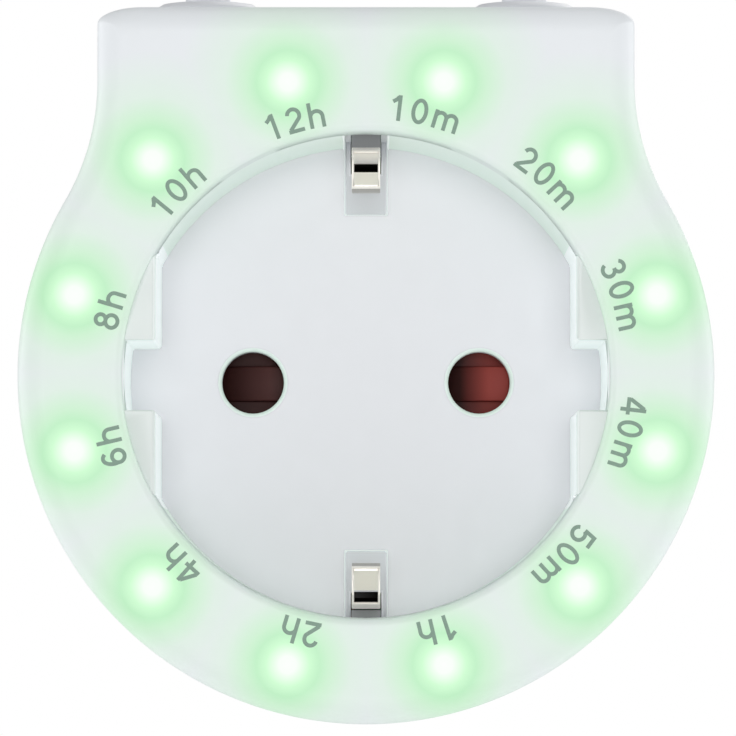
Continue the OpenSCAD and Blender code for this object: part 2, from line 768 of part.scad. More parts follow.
module contact_carrier() color("dimgray") {
    difference() {
        union() {
            block([-chamber_x - chamber_wall, block_y0, chamber_z0 - chamber_wall],
                  [chamber_x + chamber_wall, block_y1, chamber_z1 + chamber_wall]);
            for (e = ears) rod(e.x, e.y, block_y0, block_y1, ear_r);
            for (s = [-1, 1]) block([s * pin_x - pocket_half, block_y0, -pocket_half],
                                    [s * pin_x + pocket_half, pocket_end, pocket_half]);
        }
        for (s = [-1, 1]) {
            rod(s * pin_x, 0, block_y0 - eps, sleeve_y0 - fit_gap + eps, hole_r);
            rod(s * pin_x, 0, sleeve_y0 - fit_gap, pocket_end + eps, bore_r);
        }
        for (e = ears) rod(e.x, e.y, block_y0 - eps, block_y1 + eps, small_screw_r + run_gap);
        rod(0, 0, block_y1 - rivet_head_h - fit_gap, block_y1 + eps, rivet_head_r + fit_gap);
    }
}

module shutter_slider() color("firebrick") {
    plate_y = slider_y1 - slider_plate_t;
    difference() {
        block([slider_x0, plate_y, -slider_half_w], [slider_x1, slider_y1, slider_half_w]);
        for (s = [-1, 1])
            block([s * pin_x - pad_half - shutter_travel, plate_y - eps, slider_rim - slider_half_w],
                  [s * pin_x - pad_half, slider_y1 + eps, slider_half_w - slider_rim]);
    }
    for (s = [-1, 1]) translate([s * pin_x, 0, -ramp_half_w]) linear_extrude(2 * ramp_half_w)
        polygon([[-pad_half, plate_y], [-pad_half, plate_y + merge], [hole_r, plate_y + merge],
                 [hole_r, slider_y0], [ramp_top_x, slider_y0]]);
    block([lug_x, plate_y, slider_half_w - eps], [lug_x + lug_w, slider_y1, lug_z1]);
}

function helix_ring(x, a) = [for (k = [0 : 5])
    let (r = spring_r - spring_wire_r + spring_wire_r * cos(60 * k))
    [x + spring_wire_r * sin(60 * k), r * cos(a), r * sin(a)]];

module shutter_spring() color("silver") {
    steps = 10 * spring_turns;
    x0 = lug_x + lug_w + spring_wire_r + fit_gap / 2;
    x1 = stop_x - spring_wire_r - fit_gap / 2;
    rings = [for (i = [0 : steps]) helix_ring(x0 + (x1 - x0) * i / steps, 36 * i)];
    sides = [for (i = [0 : steps - 1], k = [0 : 5], t = [0, 1])
        let (a = 6 * i + k, b = 6 * i + (k + 1) % 6)
        t == 0 ? [a, a + 6, b] : [b, a + 6, b + 6]];
    translate([0, (slider_y0 + slider_y1) / 2, spring_z])
        polyhedron(points = [for (r = rings) each r],
                   faces = concat([[0, 1, 2, 3, 4, 5]], sides,
                                  [[for (k = [5 : -1 : 0]) 6 * steps + k]]));
}

module carrier_screws() color("silver") {
    for (e = ears) screw_y(e.x, e.y, block_y1, -1, small_screw_r,
                           block_y1 - floor_back + cup_floor / 2 - screw_tip_gap, small_head_r,
                           small_head_h);
}

// Spring sleeve around a plug pin; s is -1 for the left and 1 for the right one.
module contact_sleeve(s) {
    x = s * pin_x;
    difference() {
        union() {
            rod(x, 0, sleeve_y0, pocket_end, sleeve_r1);
            intersection() {
                rod(x, 0, pocket_end - eps, tail_end_y, sleeve_r1);
                block([x - tail_w / 2, pocket_end - eps, -sleeve_r1 - eps],
                      [x + tail_w / 2, tail_end_y, 0]);
            }
        }
        rod(x, 0, sleeve_y0 - eps, tail_end_y + eps, sleeve_r0);
        block([x - slit_w / 2, sleeve_y0 - eps, 0],
              [x + slit_w / 2, pocket_end - sleeve_ring, sleeve_r1 + eps]);
        block([x - sleeve_r1 - eps, sleeve_y0 - eps, -slit_w / 2],
              [x + sleeve_r1 + eps, pocket_end - sleeve_ring, slit_w / 2]);
    }
}

module live_contact() color("goldenrod") contact_sleeve(-1);

module neutral_contact() color("goldenrod") contact_sleeve(1);

// ---------------------------------------------------------------- earth path

// Hook of one clip as points [y, z], from the cross strip to the free end.
function clip_path() = let (front = bulge_y - hook_rise, shoulder = front + hook_bend) [
    [earth_y, 0], [earth_y, clip_foot - clip_t], [earth_y - clip_t, clip_foot],
    [floor_y, clip_foot], [bulge_y, clip_top], [shoulder, clip_top - hook_bend / 2],
    [front, clip_top - 2 * hook_bend], [front, clip_apex + 2 * hook_bend],
    [shoulder, clip_apex + hook_bend / 2], [bulge_y, clip_apex],
    [bulge_y + 2 * hook_bend, clip_apex], [bulge_y + tongue_l, clip_apex + 3 * hook_bend]
];

module front_earth_strap() color("gainsboro") {
    difference() {
        union() for (t = [0, 1]) mirror([0, 0, t]) {
            along_x(-clip_w / 2, clip_w / 2) path_strip(clip_path(), clip_t);
            block([-cross_half_w, earth_y - clip_t / 2, -eps],
                  [cross_half_w, earth_y + clip_t / 2, slot_r0 - cross_half_w]);
        }
        for (t = [0, 1]) mirror([0, 0, t])
            block([-clip_w / 2 + rail_w, bulge_y - 2 * hook_rise, clip_apex + clip_t / 4],
                  [clip_w / 2 - rail_w, bulge_y, clip_top - clip_t / 4]);
        rod(0, 0, earth_y - eps, earth_y + eps, rivet_r + run_gap);
    }
}

module rear_earth_strap() color("gainsboro") {
    difference() {
        along_x(-side_strip_w / 2, side_strip_w / 2)
            path_strip([[plug_l - side_strip_t, side_r], [side_y, side_r], [side_y, -side_r],
                        [plug_l - side_strip_t, -side_r]], side_strip_t);
        rod(0, 0, side_y - eps, side_y + eps, rivet_r + run_gap);
    }
}

module earth_link() color("silver") {
    y0 = earth_y + clip_t / 2;
    y1 = side_y - side_strip_t / 2;
    rod(0, 0, y0, y1, link_r);
    rod(0, 0, y0 - clip_t, y1 + side_strip_t, rivet_r);
    rod(0, 0, y0 - clip_t - rivet_head_h, y0 - clip_t, rivet_head_r);
    rod(0, 0, y1 + side_strip_t, y1 + side_strip_t + rivet_head_h, rivet_head_r);
}

// ---------------------------------------------------------------- plug pins

module plug_pin(s) {
    tip = plug_l + pin_l;
    rod(s * pin_x, 0, collar_y, tip - pin_tip, pin_d / 2);
    translate([s * pin_x, tip - pin_tip, 0]) rotate([-90, 0, 0])
        cylinder(h = pin_tip, r1 = pin_d / 2, r2 = pin_d / 2 - 0.8 * pin_tip);
    rod(s * pin_x, 0, collar_y, plug_l + pin_seat_h, pin_d / 2 + pin_seat_w);
    rod(s * pin_x, 0, collar_y, pin_end_y, collar_r);
    rod(s * pin_x, 0, busbar_y - pin_rivet_h, collar_y, shank_r);
    rod(s * pin_x, 0, busbar_y - pin_rivet_h, busbar_y, shank_r + pin_rivet_w);
}

module live_plug_pin() color("silver") plug_pin(-1);

module neutral_plug_pin() color("silver") plug_pin(1);

module pin_carrier() color("ivory") {
    difference() {
        union() {
            along_y(pin_block_y, collar_y) plug_hollow(fit_gap);
            for (s = [-1, 1])
                rod(s * carrier_post_at.x, carrier_post_at.y, board_back, pin_block_y + eps,
                    carrier_post_r);
        }
        for (s = [-1, 1])
            rod(s * pin_x, 0, pin_block_y - eps, collar_y + eps, shank_r + run_gap);
    }
}

module busbar(s) {
    x = s * pin_x;
    difference() {
        union() {
            block([x - busbar_w / 2, busbar_y, -busbar_l - busbar_t / 2],
                  [x + busbar_w / 2, busbar_y + busbar_t, busbar_w / 2]);
            block([x - tab_w / 2, board_front - solder_h, -busbar_l - busbar_t / 2],
                  [x + tab_w / 2, busbar_y + eps, -busbar_l + busbar_t / 2]);
        }
        rod(x, 0, busbar_y - eps, busbar_y + busbar_t + eps, shank_r + run_gap);
    }
}

module live_busbar() color("peru") busbar(-1);

module neutral_busbar() color("peru") busbar(1);

// ---------------------------------------------------------------- main board

module main_board() color("seagreen") {
    difference() {
        rod(0, 0, board_front, board_back, board_r, $fn = 128);
        for (a = screw_angles) at_angle(screw_ring_r, a)
            rod(0, 0, board_front - eps, board_back + eps, tube_r + slide_gap);
        rod(0, 0, board_front - eps, board_back + eps, link_r + slide_gap);
        for (p = board_screw_at)
            rod(p.x, p.y, board_front - eps, board_back + eps, small_screw_r + run_gap);
        for (s = [-1, 1]) {
            block([s * pin_x - tail_w / 2 - slide_gap, board_front - eps,
                   -sleeve_r1 - slide_gap],
                  [s * pin_x + tail_w / 2 + slide_gap, board_back + eps,
                   slide_gap - tail_z]);
            block([s * pin_x - tab_w / 2 - slide_gap, board_front - eps,
                   -busbar_l - busbar_t / 2 - slide_gap],
                  [s * pin_x + tab_w / 2 + slide_gap, board_back + eps,
                   -busbar_l + busbar_t / 2 + slide_gap]);
        }
    }
}

module main_board_screws() color("silver") {
    for (p = board_screw_at)
        screw_y(p.x, p.y, board_front, 1, small_screw_r,
                -rear_t / 2 - screw_tip_gap - board_front, small_head_r, small_head_h);
}

module relay_base() color("black") {
    block([-relay_l / 2, relay_foot_y, relay_z - relay_w / 2],
          [relay_l / 2, board_front, relay_z + relay_w / 2]);
}

module relay_coil() color("chocolate") {
    rod(bobbin_x, relay_z, core_y + core_gap, core_y + core_gap + cheek_t, bobbin_r);
    rod(bobbin_x, relay_z, relay_foot_y - cheek_t, relay_foot_y, bobbin_r);
    rod(bobbin_x, relay_z, core_y + core_gap, relay_foot_y, winding_r);
    rod(bobbin_x, relay_z, core_y, relay_foot_y, core_r);
}

module relay_yoke() color("silver") {
    block([yoke_x, armature_y + iron_t + slide_gap, relay_z - yoke_half_w],
          [yoke_x + iron_t, relay_foot_y, relay_z + yoke_half_w]);
}

module relay_armature() color("silver") {
    block([yoke_x, armature_y, relay_z - armature_half_w],
          [armature_x1, armature_y + iron_t, relay_z + armature_half_w]);
    block([bobbin_x + core_r + 1, blade_y - blade_t / 4, relay_z - blade_half_w],
          [contact_x + contact_r + merge, blade_y + blade_t, relay_z + blade_half_w]);
    rod(contact_x, relay_z, blade_y + blade_t / 2, blade_y + blade_t + contact_h, contact_r);
}

module relay_fixed_contact() color("goldenrod") {
    top = blade_y + blade_t + contact_h + contact_gap;
    ledge_y = top + contact_h;
    leg_x = contact_x + contact_r + bracket_leg_t;
    rod(contact_x, relay_z, top, ledge_y + bracket_t / 2, contact_r);
    block([contact_x - contact_r - merge, ledge_y, relay_z - bracket_half_w],
          [leg_x + bracket_leg_t, ledge_y + bracket_t, relay_z + bracket_half_w]);
    block([leg_x, ledge_y, relay_z - bracket_half_w],
          [leg_x + bracket_leg_t, relay_foot_y, relay_z + bracket_half_w]);
}

module relay_cover() color("steelblue") {
    difference() {
        block([-relay_l / 2, board_front - relay_h, relay_z - relay_w / 2],
              [relay_l / 2, relay_foot_y, relay_z + relay_w / 2]);
        block([-relay_l / 2 + relay_wall, relay_top_y, relay_z - relay_w / 2 + relay_wall],
              [relay_l / 2 - relay_wall, relay_foot_y + eps, relay_z + relay_w / 2 - relay_wall]);
    }
}

module film_capacitor() color("goldenrod") {
    block([-film_cap[0] / 2, board_front - film_cap[2], film_z],
          [film_cap[0] / 2, board_front, film_z + film_cap[1]]);
}

module electrolytic_capacitor() color("black") {
    rod(can_at.x, can_at.y, board_front - can_h, board_front, can_r);
}

module varistor() color("royalblue") {
    centre_y = board_front - varistor_r - solder_h;
    translate([varistor_at.x, centre_y, varistor_at.y - varistor_t / 2])
        cylinder(h = varistor_t, r = varistor_r);
    for (s = [-1, 1])
        rod(varistor_at.x + s * varistor_pitch / 2, varistor_at.y, centre_y, board_front, lead_r);
}

module fuse() color("saddlebrown") {
    rod(fuse_at.x, fuse_at.y, board_front - fuse_h, board_front, fuse_r);
}

// Axial component along Z, standing off the board on its two bent wires.
module axial(x, z) {
    y = board_front - axial_r - part_lift;
    translate([x, y, z]) cylinder(h = axial_l, r = axial_r);
    for (end = [z - axial_end, z + axial_l + axial_end])
        rod(x, end, y - lead_r, board_front, lead_r);
    translate([x, y, z - axial_end]) cylinder(h = axial_l + 2 * axial_end, r = 0.8 * lead_r);
}

module rectifier_diodes() color("dimgray") {
    for (x = diode_xs) axial(x, diode_z);
}

module resistors() color("tan") {
    for (p = resistor_at) axial(p.x, p.y);
}

module transistor() color("black") {
    difference() {
        rod(transistor_at.x, transistor_at.y, board_front - transistor_h, board_front,
            transistor_r);
        block([transistor_at.x - transistor_r, board_front - transistor_h - eps,
               transistor_at.y + transistor_r / 2],
              [transistor_at.x + transistor_r, board_front + eps,
               transistor_at.y + 2 * transistor_r]);
    }
}

// ---------------------------------------------------------------- lights

function led_angle(i) = 90 - 360 / led_count * (i - 0.5);

module led_board() color("seagreen") {
    difference() {
        rod(0, 0, ring_board_y, ring_board_y + ring_board_t, ring_r1, $fn = 128);
        rod(0, 0, ring_board_y - eps, ring_board_y + ring_board_t + eps, ring_r0, $fn = 128);
        for (a = ring_post_angles) at_angle(ring_post_ring, a)
            rod(0, 0, ring_board_y - eps, ring_board_y + ring_board_t + eps,
                small_screw_r + run_gap);
    }
}

module led_board_screws() color("silver") {
    for (a = ring_post_angles) at_angle(ring_post_ring, a)
        screw_y(0, 0, ring_board_y + ring_board_t, -1, small_screw_r,
                ring_board_y + ring_board_t - face_back - eps - screw_tip_gap, small_head_r,
                small_head_h);
}

// Light number i, clockwise from just right of the top.
module led(i) color("palegreen") {
    at_angle(led_ring_r, led_angle(i)) {
        rod(0, 0, led_top_y + led_r, ring_board_y, led_r);
        translate([0, led_top_y + led_r, 0]) sphere(led_r, $fn = 32);
    }
}

module led_ribbon() color("lightgray") {
    for (k = [0 : ribbon_wires - 1])
        rod(led_ribbon_x, (k - (ribbon_wires - 1) / 2) * wire_pitch,
            ring_board_y + ring_board_t, board_front, ribbon_t / 2);
}

// ---------------------------------------------------------------- buttons

module button_board() color("seagreen") {
    difference() {
        block([-button_board_half, button_board_y0, button_board_z],
              [button_board_half, button_board_y1, switch_z]);
        for (s = [-1, 1]) translate([s * pillar_x, pillar_y, button_board_z - eps])
            cylinder(h = board_t + 2 * eps, r = small_screw_r + run_gap);
    }
}

module button_board_screws() color("silver") {
    for (s = [-1, 1]) translate([s * pillar_x, pillar_y, 0]) {
        translate([0, 0, button_board_z]) 
            cylinder(h = top_inner - eps - screw_tip_gap - button_board_z, r = small_screw_r);
        translate([0, 0, button_board_z - small_head_h])
            cylinder(h = small_head_h, r = small_head_r);
    }
}

module microcontroller() color("black") {
    body_l = 0.6 * chip_w;
    block([-chip_w / 2, chip_y - body_l / 2, switch_z],
          [chip_w / 2, chip_y + body_l / 2, switch_z + chip_h]);
    for (s = [-1, 1], k = [0 : chip_pins - 1])
        translate([(k - (chip_pins - 1) / 2) * chip_pin_pitch - chip_pin_w / 2,
                   chip_y + s * body_l / 2 - chip_pin_l, switch_z])
            cube([chip_pin_w, 2 * chip_pin_l, chip_h / 5]);
}

module switch_body(s) {
    difference() {
        translate([s * button_x - switch_w / 2, button_y - switch_w / 2, switch_z])
            cube([switch_w, switch_w, switch_h]);
        translate([s * button_x, button_y, switch_z + switch_h - plunger_well])
            cylinder(h = plunger_well + eps, r = plunger_r + run_gap);
    }
}

module left_switch_body() color("black") switch_body(-1);

module right_switch_body() color("black") switch_body(1);

module switch_plunger(s) {
    translate([s * button_x, button_y, switch_z + switch_h - plunger_sink])
        cylinder(h = plunger_sink + plunger_h, r = plunger_r);
}

module left_switch_plunger() color("white") switch_plunger(-1);

module right_switch_plunger() color("white") switch_plunger(1);

// Half section [r, z] of the button's outer surface from the rim's top to the axis.
function dome_profile() = [for (k = [0 : dome_steps])
    let (a = 90 * k / dome_steps) [button_r * cos(a), head_top + button_rise + dome_h * sin(a)]];

module button_cap(s) {
    flange_z = top_inner - flange_t;
    crown_z = head_top + button_rise - button_wall + dome_h / 2;
    translate([s * button_x, button_y, 0]) {
        difference() {
            rotate_extrude() polygon(concat(
                [[0, flange_z], [button_r + button_flange, flange_z],
                 [button_r + button_flange, top_inner], [button_r, top_inner]],
                dome_profile()));
            translate([0, 0, flange_z - eps])
                cylinder(h = crown_z - flange_z + eps, r = button_r - button_wall);
        }
        translate([0, 0, cap_z]) cylinder(h = crown_z - cap_z + eps / 2, r = plunger_r);
        translate([0, 0, head_top + button_rise]) cylinder(h = dome_h + nub_h, r = nub_r);
    }
}

module left_button_cap() color("silver") button_cap(-1);

module right_button_cap() color("silver") button_cap(1);

module button_ribbon() color("lightgray") {
    for (k = [0 : ribbon_wires - 1])
        rod(button_ribbon_x + k * wire_pitch, button_board_z + board_t / 2, button_board_y1,
            board_front, ribbon_t / 2);
}

module housing_screws() color("silver") {
    for (a = screw_angles) at_angle(screw_ring_r, a)
        screw_y(0, 0, seat_y, -1, housing_screw_r, housing_screw_l, housing_head_r,
                housing_head_h);
}

// ---------------------------------------------------------------- drawing

front_housing();
rear_housing();
socket_cup();
contact_carrier();
shutter_slider();
shutter_spring();
carrier_screws();
live_contact();
neutral_contact();
front_earth_strap();
rear_earth_strap();
earth_link();
pin_carrier();
live_plug_pin();
neutral_plug_pin();
live_busbar();
neutral_busbar();
main_board();
main_board_screws();
relay_base();
relay_coil();
relay_yoke();
relay_armature();
relay_fixed_contact();
relay_cover();
film_capacitor();
electrolytic_capacitor();
varistor();
fuse();
rectifier_diodes();
resistors();
transistor();
microcontroller();
led_board();
led_board_screws();
led(1);  // led_01
led(2);  // led_02
led(3);  // led_03
led(4);  // led_04
led(5);  // led_05
led(6);  // led_06
led(7);  // led_07
led(8);  // led_08
led(9);  // led_09
led(10);  // led_10
led(11);  // led_11
led(12);  // led_12
button_board();
button_board_screws();
left_switch_body();
right_switch_body();
left_switch_plunger();
right_switch_plunger();
left_button_cap();
right_button_cap();
led_ribbon();
button_ribbon();
housing_screws();
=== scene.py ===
"""A plug-in countdown timer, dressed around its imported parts.

The shells, buttons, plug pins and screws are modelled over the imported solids. The socket, the earth
contacts, the shutter and its spring are copies of theirs, softened where they show. The sealed inner
parts keep their own meshes and get finishes. Lengths are in metres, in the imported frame: +X right, +Y
into the wall, +Z up.
"""
import json
import logging
import math
from collections.abc import Callable, Iterable, Sequence
from dataclasses import dataclass, field
from enum import Enum
from functools import cache

import bmesh
import bpy
from mathutils import Matrix, Vector


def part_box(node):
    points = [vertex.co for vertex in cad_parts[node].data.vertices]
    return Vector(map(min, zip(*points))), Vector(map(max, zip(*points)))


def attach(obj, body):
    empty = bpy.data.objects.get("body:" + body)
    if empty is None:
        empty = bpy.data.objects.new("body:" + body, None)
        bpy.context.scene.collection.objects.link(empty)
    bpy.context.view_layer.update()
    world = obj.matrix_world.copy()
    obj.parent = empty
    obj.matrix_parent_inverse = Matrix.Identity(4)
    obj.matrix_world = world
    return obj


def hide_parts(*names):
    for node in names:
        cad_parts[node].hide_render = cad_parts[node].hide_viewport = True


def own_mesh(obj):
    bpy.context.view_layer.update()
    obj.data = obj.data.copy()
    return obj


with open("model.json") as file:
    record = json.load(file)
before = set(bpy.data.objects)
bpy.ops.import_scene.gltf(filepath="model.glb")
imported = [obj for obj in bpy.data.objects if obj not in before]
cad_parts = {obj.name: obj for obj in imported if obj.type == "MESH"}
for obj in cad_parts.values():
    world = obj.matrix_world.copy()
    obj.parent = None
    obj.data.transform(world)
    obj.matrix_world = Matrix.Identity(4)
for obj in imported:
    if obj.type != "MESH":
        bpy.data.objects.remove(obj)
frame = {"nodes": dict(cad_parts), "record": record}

LOG = logging.getLogger("timer")
MM = 0.001
TOLERANCE = 0.01 * MM
MERGE = 0.1 * TOLERANCE
SHARP = math.radians(32)
FLAT = math.radians(0.3)
FACING = 0.9
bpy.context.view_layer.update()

Point2 = tuple[float, float]
Span = tuple[float, float]
Colour = tuple[float, float, float]
Stop = tuple[float, Colour]
Port = bpy.types.NodeSocket
Edges = list[bmesh.types.BMEdge]

WHITE: Colour = (1.0, 1.0, 1.0)
BLACK: Colour = (0.0, 0.0, 0.0)


class Body(Enum):
    """The bodies that new pieces ride on."""

    ROOT = "root"
    SHUTTER = "shutter"
    LEFT_BUTTON = "left_button"
    RIGHT_BUTTON = "right_button"


class Side(Enum):
    """The two buttons."""

    LEFT = "left"
    RIGHT = "right"


class Pole(Enum):
    """The two plug pins."""

    LIVE = "live"
    NEUTRAL = "neutral"


class Axis(Enum):
    """Directions that turned pieces stand along."""

    UP = Matrix.Identity(3)
    INTO_WALL = Matrix.Rotation(math.radians(-90), 3, "X")


# ------------------------------------------------------------------ colour and material graphs


def srgb(red: int, green: int, blue: int) -> Colour:
    """Scene-linear colour of a display colour.

    Args:
        red: Red from 0 to 255.
        green: Green from 0 to 255.
        blue: Blue from 0 to 255.

    Returns:
        The three linear values.
    """
    def linear(value: int) -> float:
        """Linear value of one channel."""
        share = value / 255
        return share / 12.92 if share <= 0.04045 else ((share + 0.055) / 1.055) ** 2.4

    return linear(red), linear(green), linear(blue)


def scaled(colour: Colour, factor: float) -> Colour:
    """The colour with every channel times a factor."""
    return tuple(channel * factor for channel in colour)


class Graph:
    """The node graph of one material."""

    def __init__(self, name: str) -> None:
        """Starts a material with its principled shader.

        Args:
            name: Name of the material.
        """
        self.material = bpy.data.materials.new(name)
        self.material.use_nodes = True
        self.tree = self.material.node_tree
        self.shader = self.tree.nodes["Principled BSDF"]
        self.coords = self.add("ShaderNodeTexCoord").outputs["Object"]

    def add(self, kind: str, **settings: object) -> bpy.types.Node:
        """Adds a node and sets its properties.

        Args:
            kind: The node's type.
            **settings: Property names and values.

        Returns:
            The new node.
        """
        node = self.tree.nodes.new(kind)
        for name, value in settings.items():
            setattr(node, name, value)
        return node

    def feed(self, socket: Port, value: object) -> None:
        """Links a socket to another one, or sets its value.

        Args:
            socket: The input to feed.
            value: An output socket, or a plain value.
        """
        if isinstance(value, Port):
            self.tree.links.new(value, socket)
        else:
            socket.default_value = value

    def set(self, name: str, value: object) -> None:
        """Feeds one of the shader's own inputs."""
        self.feed(self.shader.inputs[name], value)

    def math(self, operation: str, *values: object) -> Port:
        """One calculation on numbers.

        Args:
            operation: The operation's name.
            *values: Sockets or numbers, in order.

        Returns:
            The result's socket.
        """
        node = self.add("ShaderNodeMath", operation=operation)
        for socket, value in zip(node.inputs, values):
            self.feed(socket, value)
        return node.outputs[0]

    def place(self) -> tuple[Port, ...]:
        """The coordinates of a point on the piece.

        Returns:
            The sockets of X, Y and Z.
        """
        split = self.add("ShaderNodeSeparateXYZ")
        self.feed(split.inputs["Vector"], self.coords)
        return tuple(split.outputs)

    def length(self, first: Port, *others: Port) -> Port:
        """Length of a line from its parts along the axes.

        Args:
            first: The first part.
            *others: The other parts.

        Returns:
            The length's socket.
        """
        total = self.math("POWER", first, 2.0)
        for part in others:
            total = self.math("ADD", total, self.math("POWER", part, 2.0))
        return self.math("SQRT", total)

    def noise(self, size: float, detail: float = 2.0,
              stretch: Sequence[float] = (1.0, 1.0, 1.0)) -> Port:
        """Noise with features of a given size.

        Args:
            size: Size of a feature in metres.
            detail: Number of finer layers.
            stretch: How much the pattern is stretched along each axis.

        Returns:
            The noise value's socket.
        """
        mapping = self.add("ShaderNodeMapping")
        mapping.inputs["Scale"].default_value = [1 / (size * share) for share in stretch]
        self.feed(mapping.inputs["Vector"], self.coords)
        node = self.add("ShaderNodeTexNoise")
        node.inputs["Scale"].default_value = 1.0
        node.inputs["Detail"].default_value = detail
        self.feed(node.inputs["Vector"], mapping.outputs["Vector"])
        return node.outputs["Fac"]

    def spread(self, value: Port, low: float, high: float) -> Port:
        """Maps a value from 0 to 1 onto a range."""
        return self.math("MULTIPLY_ADD", value, high - low, low)

    def ramp(self, value: Port, *stops: Stop) -> Port:
        """Colours along a value from 0 to 1.

        Args:
            value: Where to read the ramp.
            *stops: Pairs of position and colour, in order.

        Returns:
            The colour's socket.
        """
        node = self.add("ShaderNodeValToRGB")
        elements = node.color_ramp.elements
        while len(elements) < len(stops):
            elements.new(0.5)
        for element, (position, colour) in zip(elements, stops):
            element.position = position
            element.color = (*colour, 1.0)
        self.feed(node.inputs["Fac"], value)
        return node.outputs["Color"]

    def mottle(self, cloud: Port, span: Span, colour: Colour, factor: float) -> None:
        """Lets the base colour vary between a colour times a factor and the colour itself.

        Args:
            cloud: The value that it follows.
            span: Where the colour times the factor ends, and where the colour itself begins.
            colour: The colour.
            factor: The factor.
        """
        low, high = span
        self.set("Base Color", self.ramp(cloud, (low, scaled(colour, factor)), (high, colour)))

    def bump(self, height: Port, depth: float) -> None:
        """Roughens the surface by a height from 0 to 1.

        Args:
            height: The height's socket.
            depth: Depth of the relief in metres.
        """
        node = self.add("ShaderNodeBump")
        node.inputs["Strength"].default_value = 1.0
        node.inputs["Distance"].default_value = depth
        self.feed(node.inputs["Height"], height)
        self.set("Normal", node.outputs["Normal"])


# ------------------------------------------------------------------ finishes


@dataclass(frozen=True)
class Finish:
    """How a surface looks; each kind of finish fills its own material graph."""

    name: str

    @cache
    def material(self) -> bpy.types.Material:
        """The finish's material, made once.

        Returns:
            The material.
        """
        graph = Graph(self.name)
        self.fill(graph)
        return graph.material

    def fill(self, graph: Graph) -> None:
        """Builds the material's nodes in its graph."""
        raise NotImplementedError


@dataclass(frozen=True)
class Moulded(Finish):
    """Injection-moulded plastic with a fine spark-eroded grain and slightly uneven gloss."""

    colour: Colour
    roughness: float = 0.5
    grain: float = 0.12 * MM
    relief: float = 0.003 * MM
    mottle: float = 0.03
    cloud: float = 6 * MM
    span: Span = (0.3, 0.7)
    patch: float = 1.5 * MM
    uneven: float = 0.05

    def surface(self, graph: Graph) -> None:
        """Gives the plastic its gloss and its grain.

        Args:
            graph: The material's graph.
        """
        gloss = graph.spread(graph.noise(self.patch), self.roughness - self.uneven,
                             self.roughness + self.uneven)
        graph.set("Roughness", gloss)
        graph.bump(graph.noise(self.grain, detail=3.0), self.relief)

    def fill(self, graph: Graph) -> None:
        """Builds the material's nodes.

        Args:
            graph: The material's graph.
        """
        cloud = graph.noise(self.cloud, detail=3.0)
        graph.mottle(cloud, self.span, self.colour, 1 - self.mottle)
        self.surface(graph)


@dataclass(frozen=True)
class GlowStop:
    """Colour of the lit shell at a distance from a light, and the share of it that the light gives."""

    distance: float
    colour: Colour
    emitted: float


@dataclass(frozen=True, kw_only=True)
class LitShell(Moulded):
    """White shell that a ring of lights shines through from behind."""

    stops: tuple[GlowStop, ...]
    ring_r: float
    face_y: float
    rise: float = 0.17 * MM
    count: int = 12

    def distance(self, graph: Graph) -> Port:
        """Distance from the nearest light's spot on the face, as a share of the last stop's.

        Args:
            graph: The material's graph.

        Returns:
            The distance's socket.
        """
        x, y, z = graph.place()
        half_step = math.pi / self.count
        z = graph.math("SUBTRACT", z, self.rise)
        angle = graph.math("SUBTRACT", graph.math("ARCTAN2", z, x), half_step)
        turn = graph.math("WRAP", angle, half_step, -half_step)
        radius = graph.length(x, z)
        across = graph.math("MULTIPLY", radius, graph.math("SINE", turn))
        along = graph.math("MULTIPLY", radius, graph.math("COSINE", turn))
        along = graph.math("SUBTRACT", along, self.ring_r)
        deep = graph.math("SUBTRACT", y, self.face_y)
        return graph.math("DIVIDE", graph.length(across, along, deep), self.stops[-1].distance)

    def fill(self, graph: Graph) -> None:
        """Builds the material's nodes.

        Args:
            graph: The material's graph.
        """
        distance = self.distance(graph)
        reach = self.stops[-1].distance
        graph.set("Base Color", graph.ramp(distance, *[
            (stop.distance / reach, scaled(stop.colour, 1 - stop.emitted)) for stop in self.stops]))
        graph.set("Emission Color", graph.ramp(distance, *[
            (stop.distance / reach, scaled(stop.colour, stop.emitted)) for stop in self.stops]))
        graph.set("Emission Strength", 1.0)
        self.surface(graph)


@dataclass(frozen=True)
class LitCup(Moulded):
    """White plastic with painted light and painted shade where its faces carry a share of them.

    Two face attributes steer it: one for the painted light, a green glow and a pale brightening given
    off as emission, and one for how much painted shade darkens a face.
    """

    # glow and pale are painted light given off as emission. darkest is how far full painted shade
    # darkens the colour.
    glow: Colour = (0.088, 0.17, 0.10)
    pale: Colour = (0.258, 0.305, 0.285)
    glow_at: float = 0.25
    pale_at: float = 0.5
    full: float = 2.0
    darkest: float = 0.3
    lit: str = "lit"
    shade: str = "shade"

    def fill(self, graph: Graph) -> None:
        """Builds the material's nodes.

        Args:
            graph: The material's graph.
        """
        super().fill(graph)
        lit, shade = (graph.add("ShaderNodeAttribute", attribute_name=name).outputs["Fac"]
                      for name in (self.lit, self.shade))
        # Painted shade darkens the base colour, and painted light is given off as emission.
        graph.set("Base Color", graph.ramp(shade, (0.0, self.colour),
                                           (1.0, scaled(self.colour, self.darkest))))
        graph.set("Emission Color", graph.ramp(lit, (0.0, BLACK), (self.glow_at, self.glow),
                                               (self.pale_at, self.pale),
                                               (1.0, scaled(self.pale, self.full))))
        graph.set("Emission Strength", 1.0)


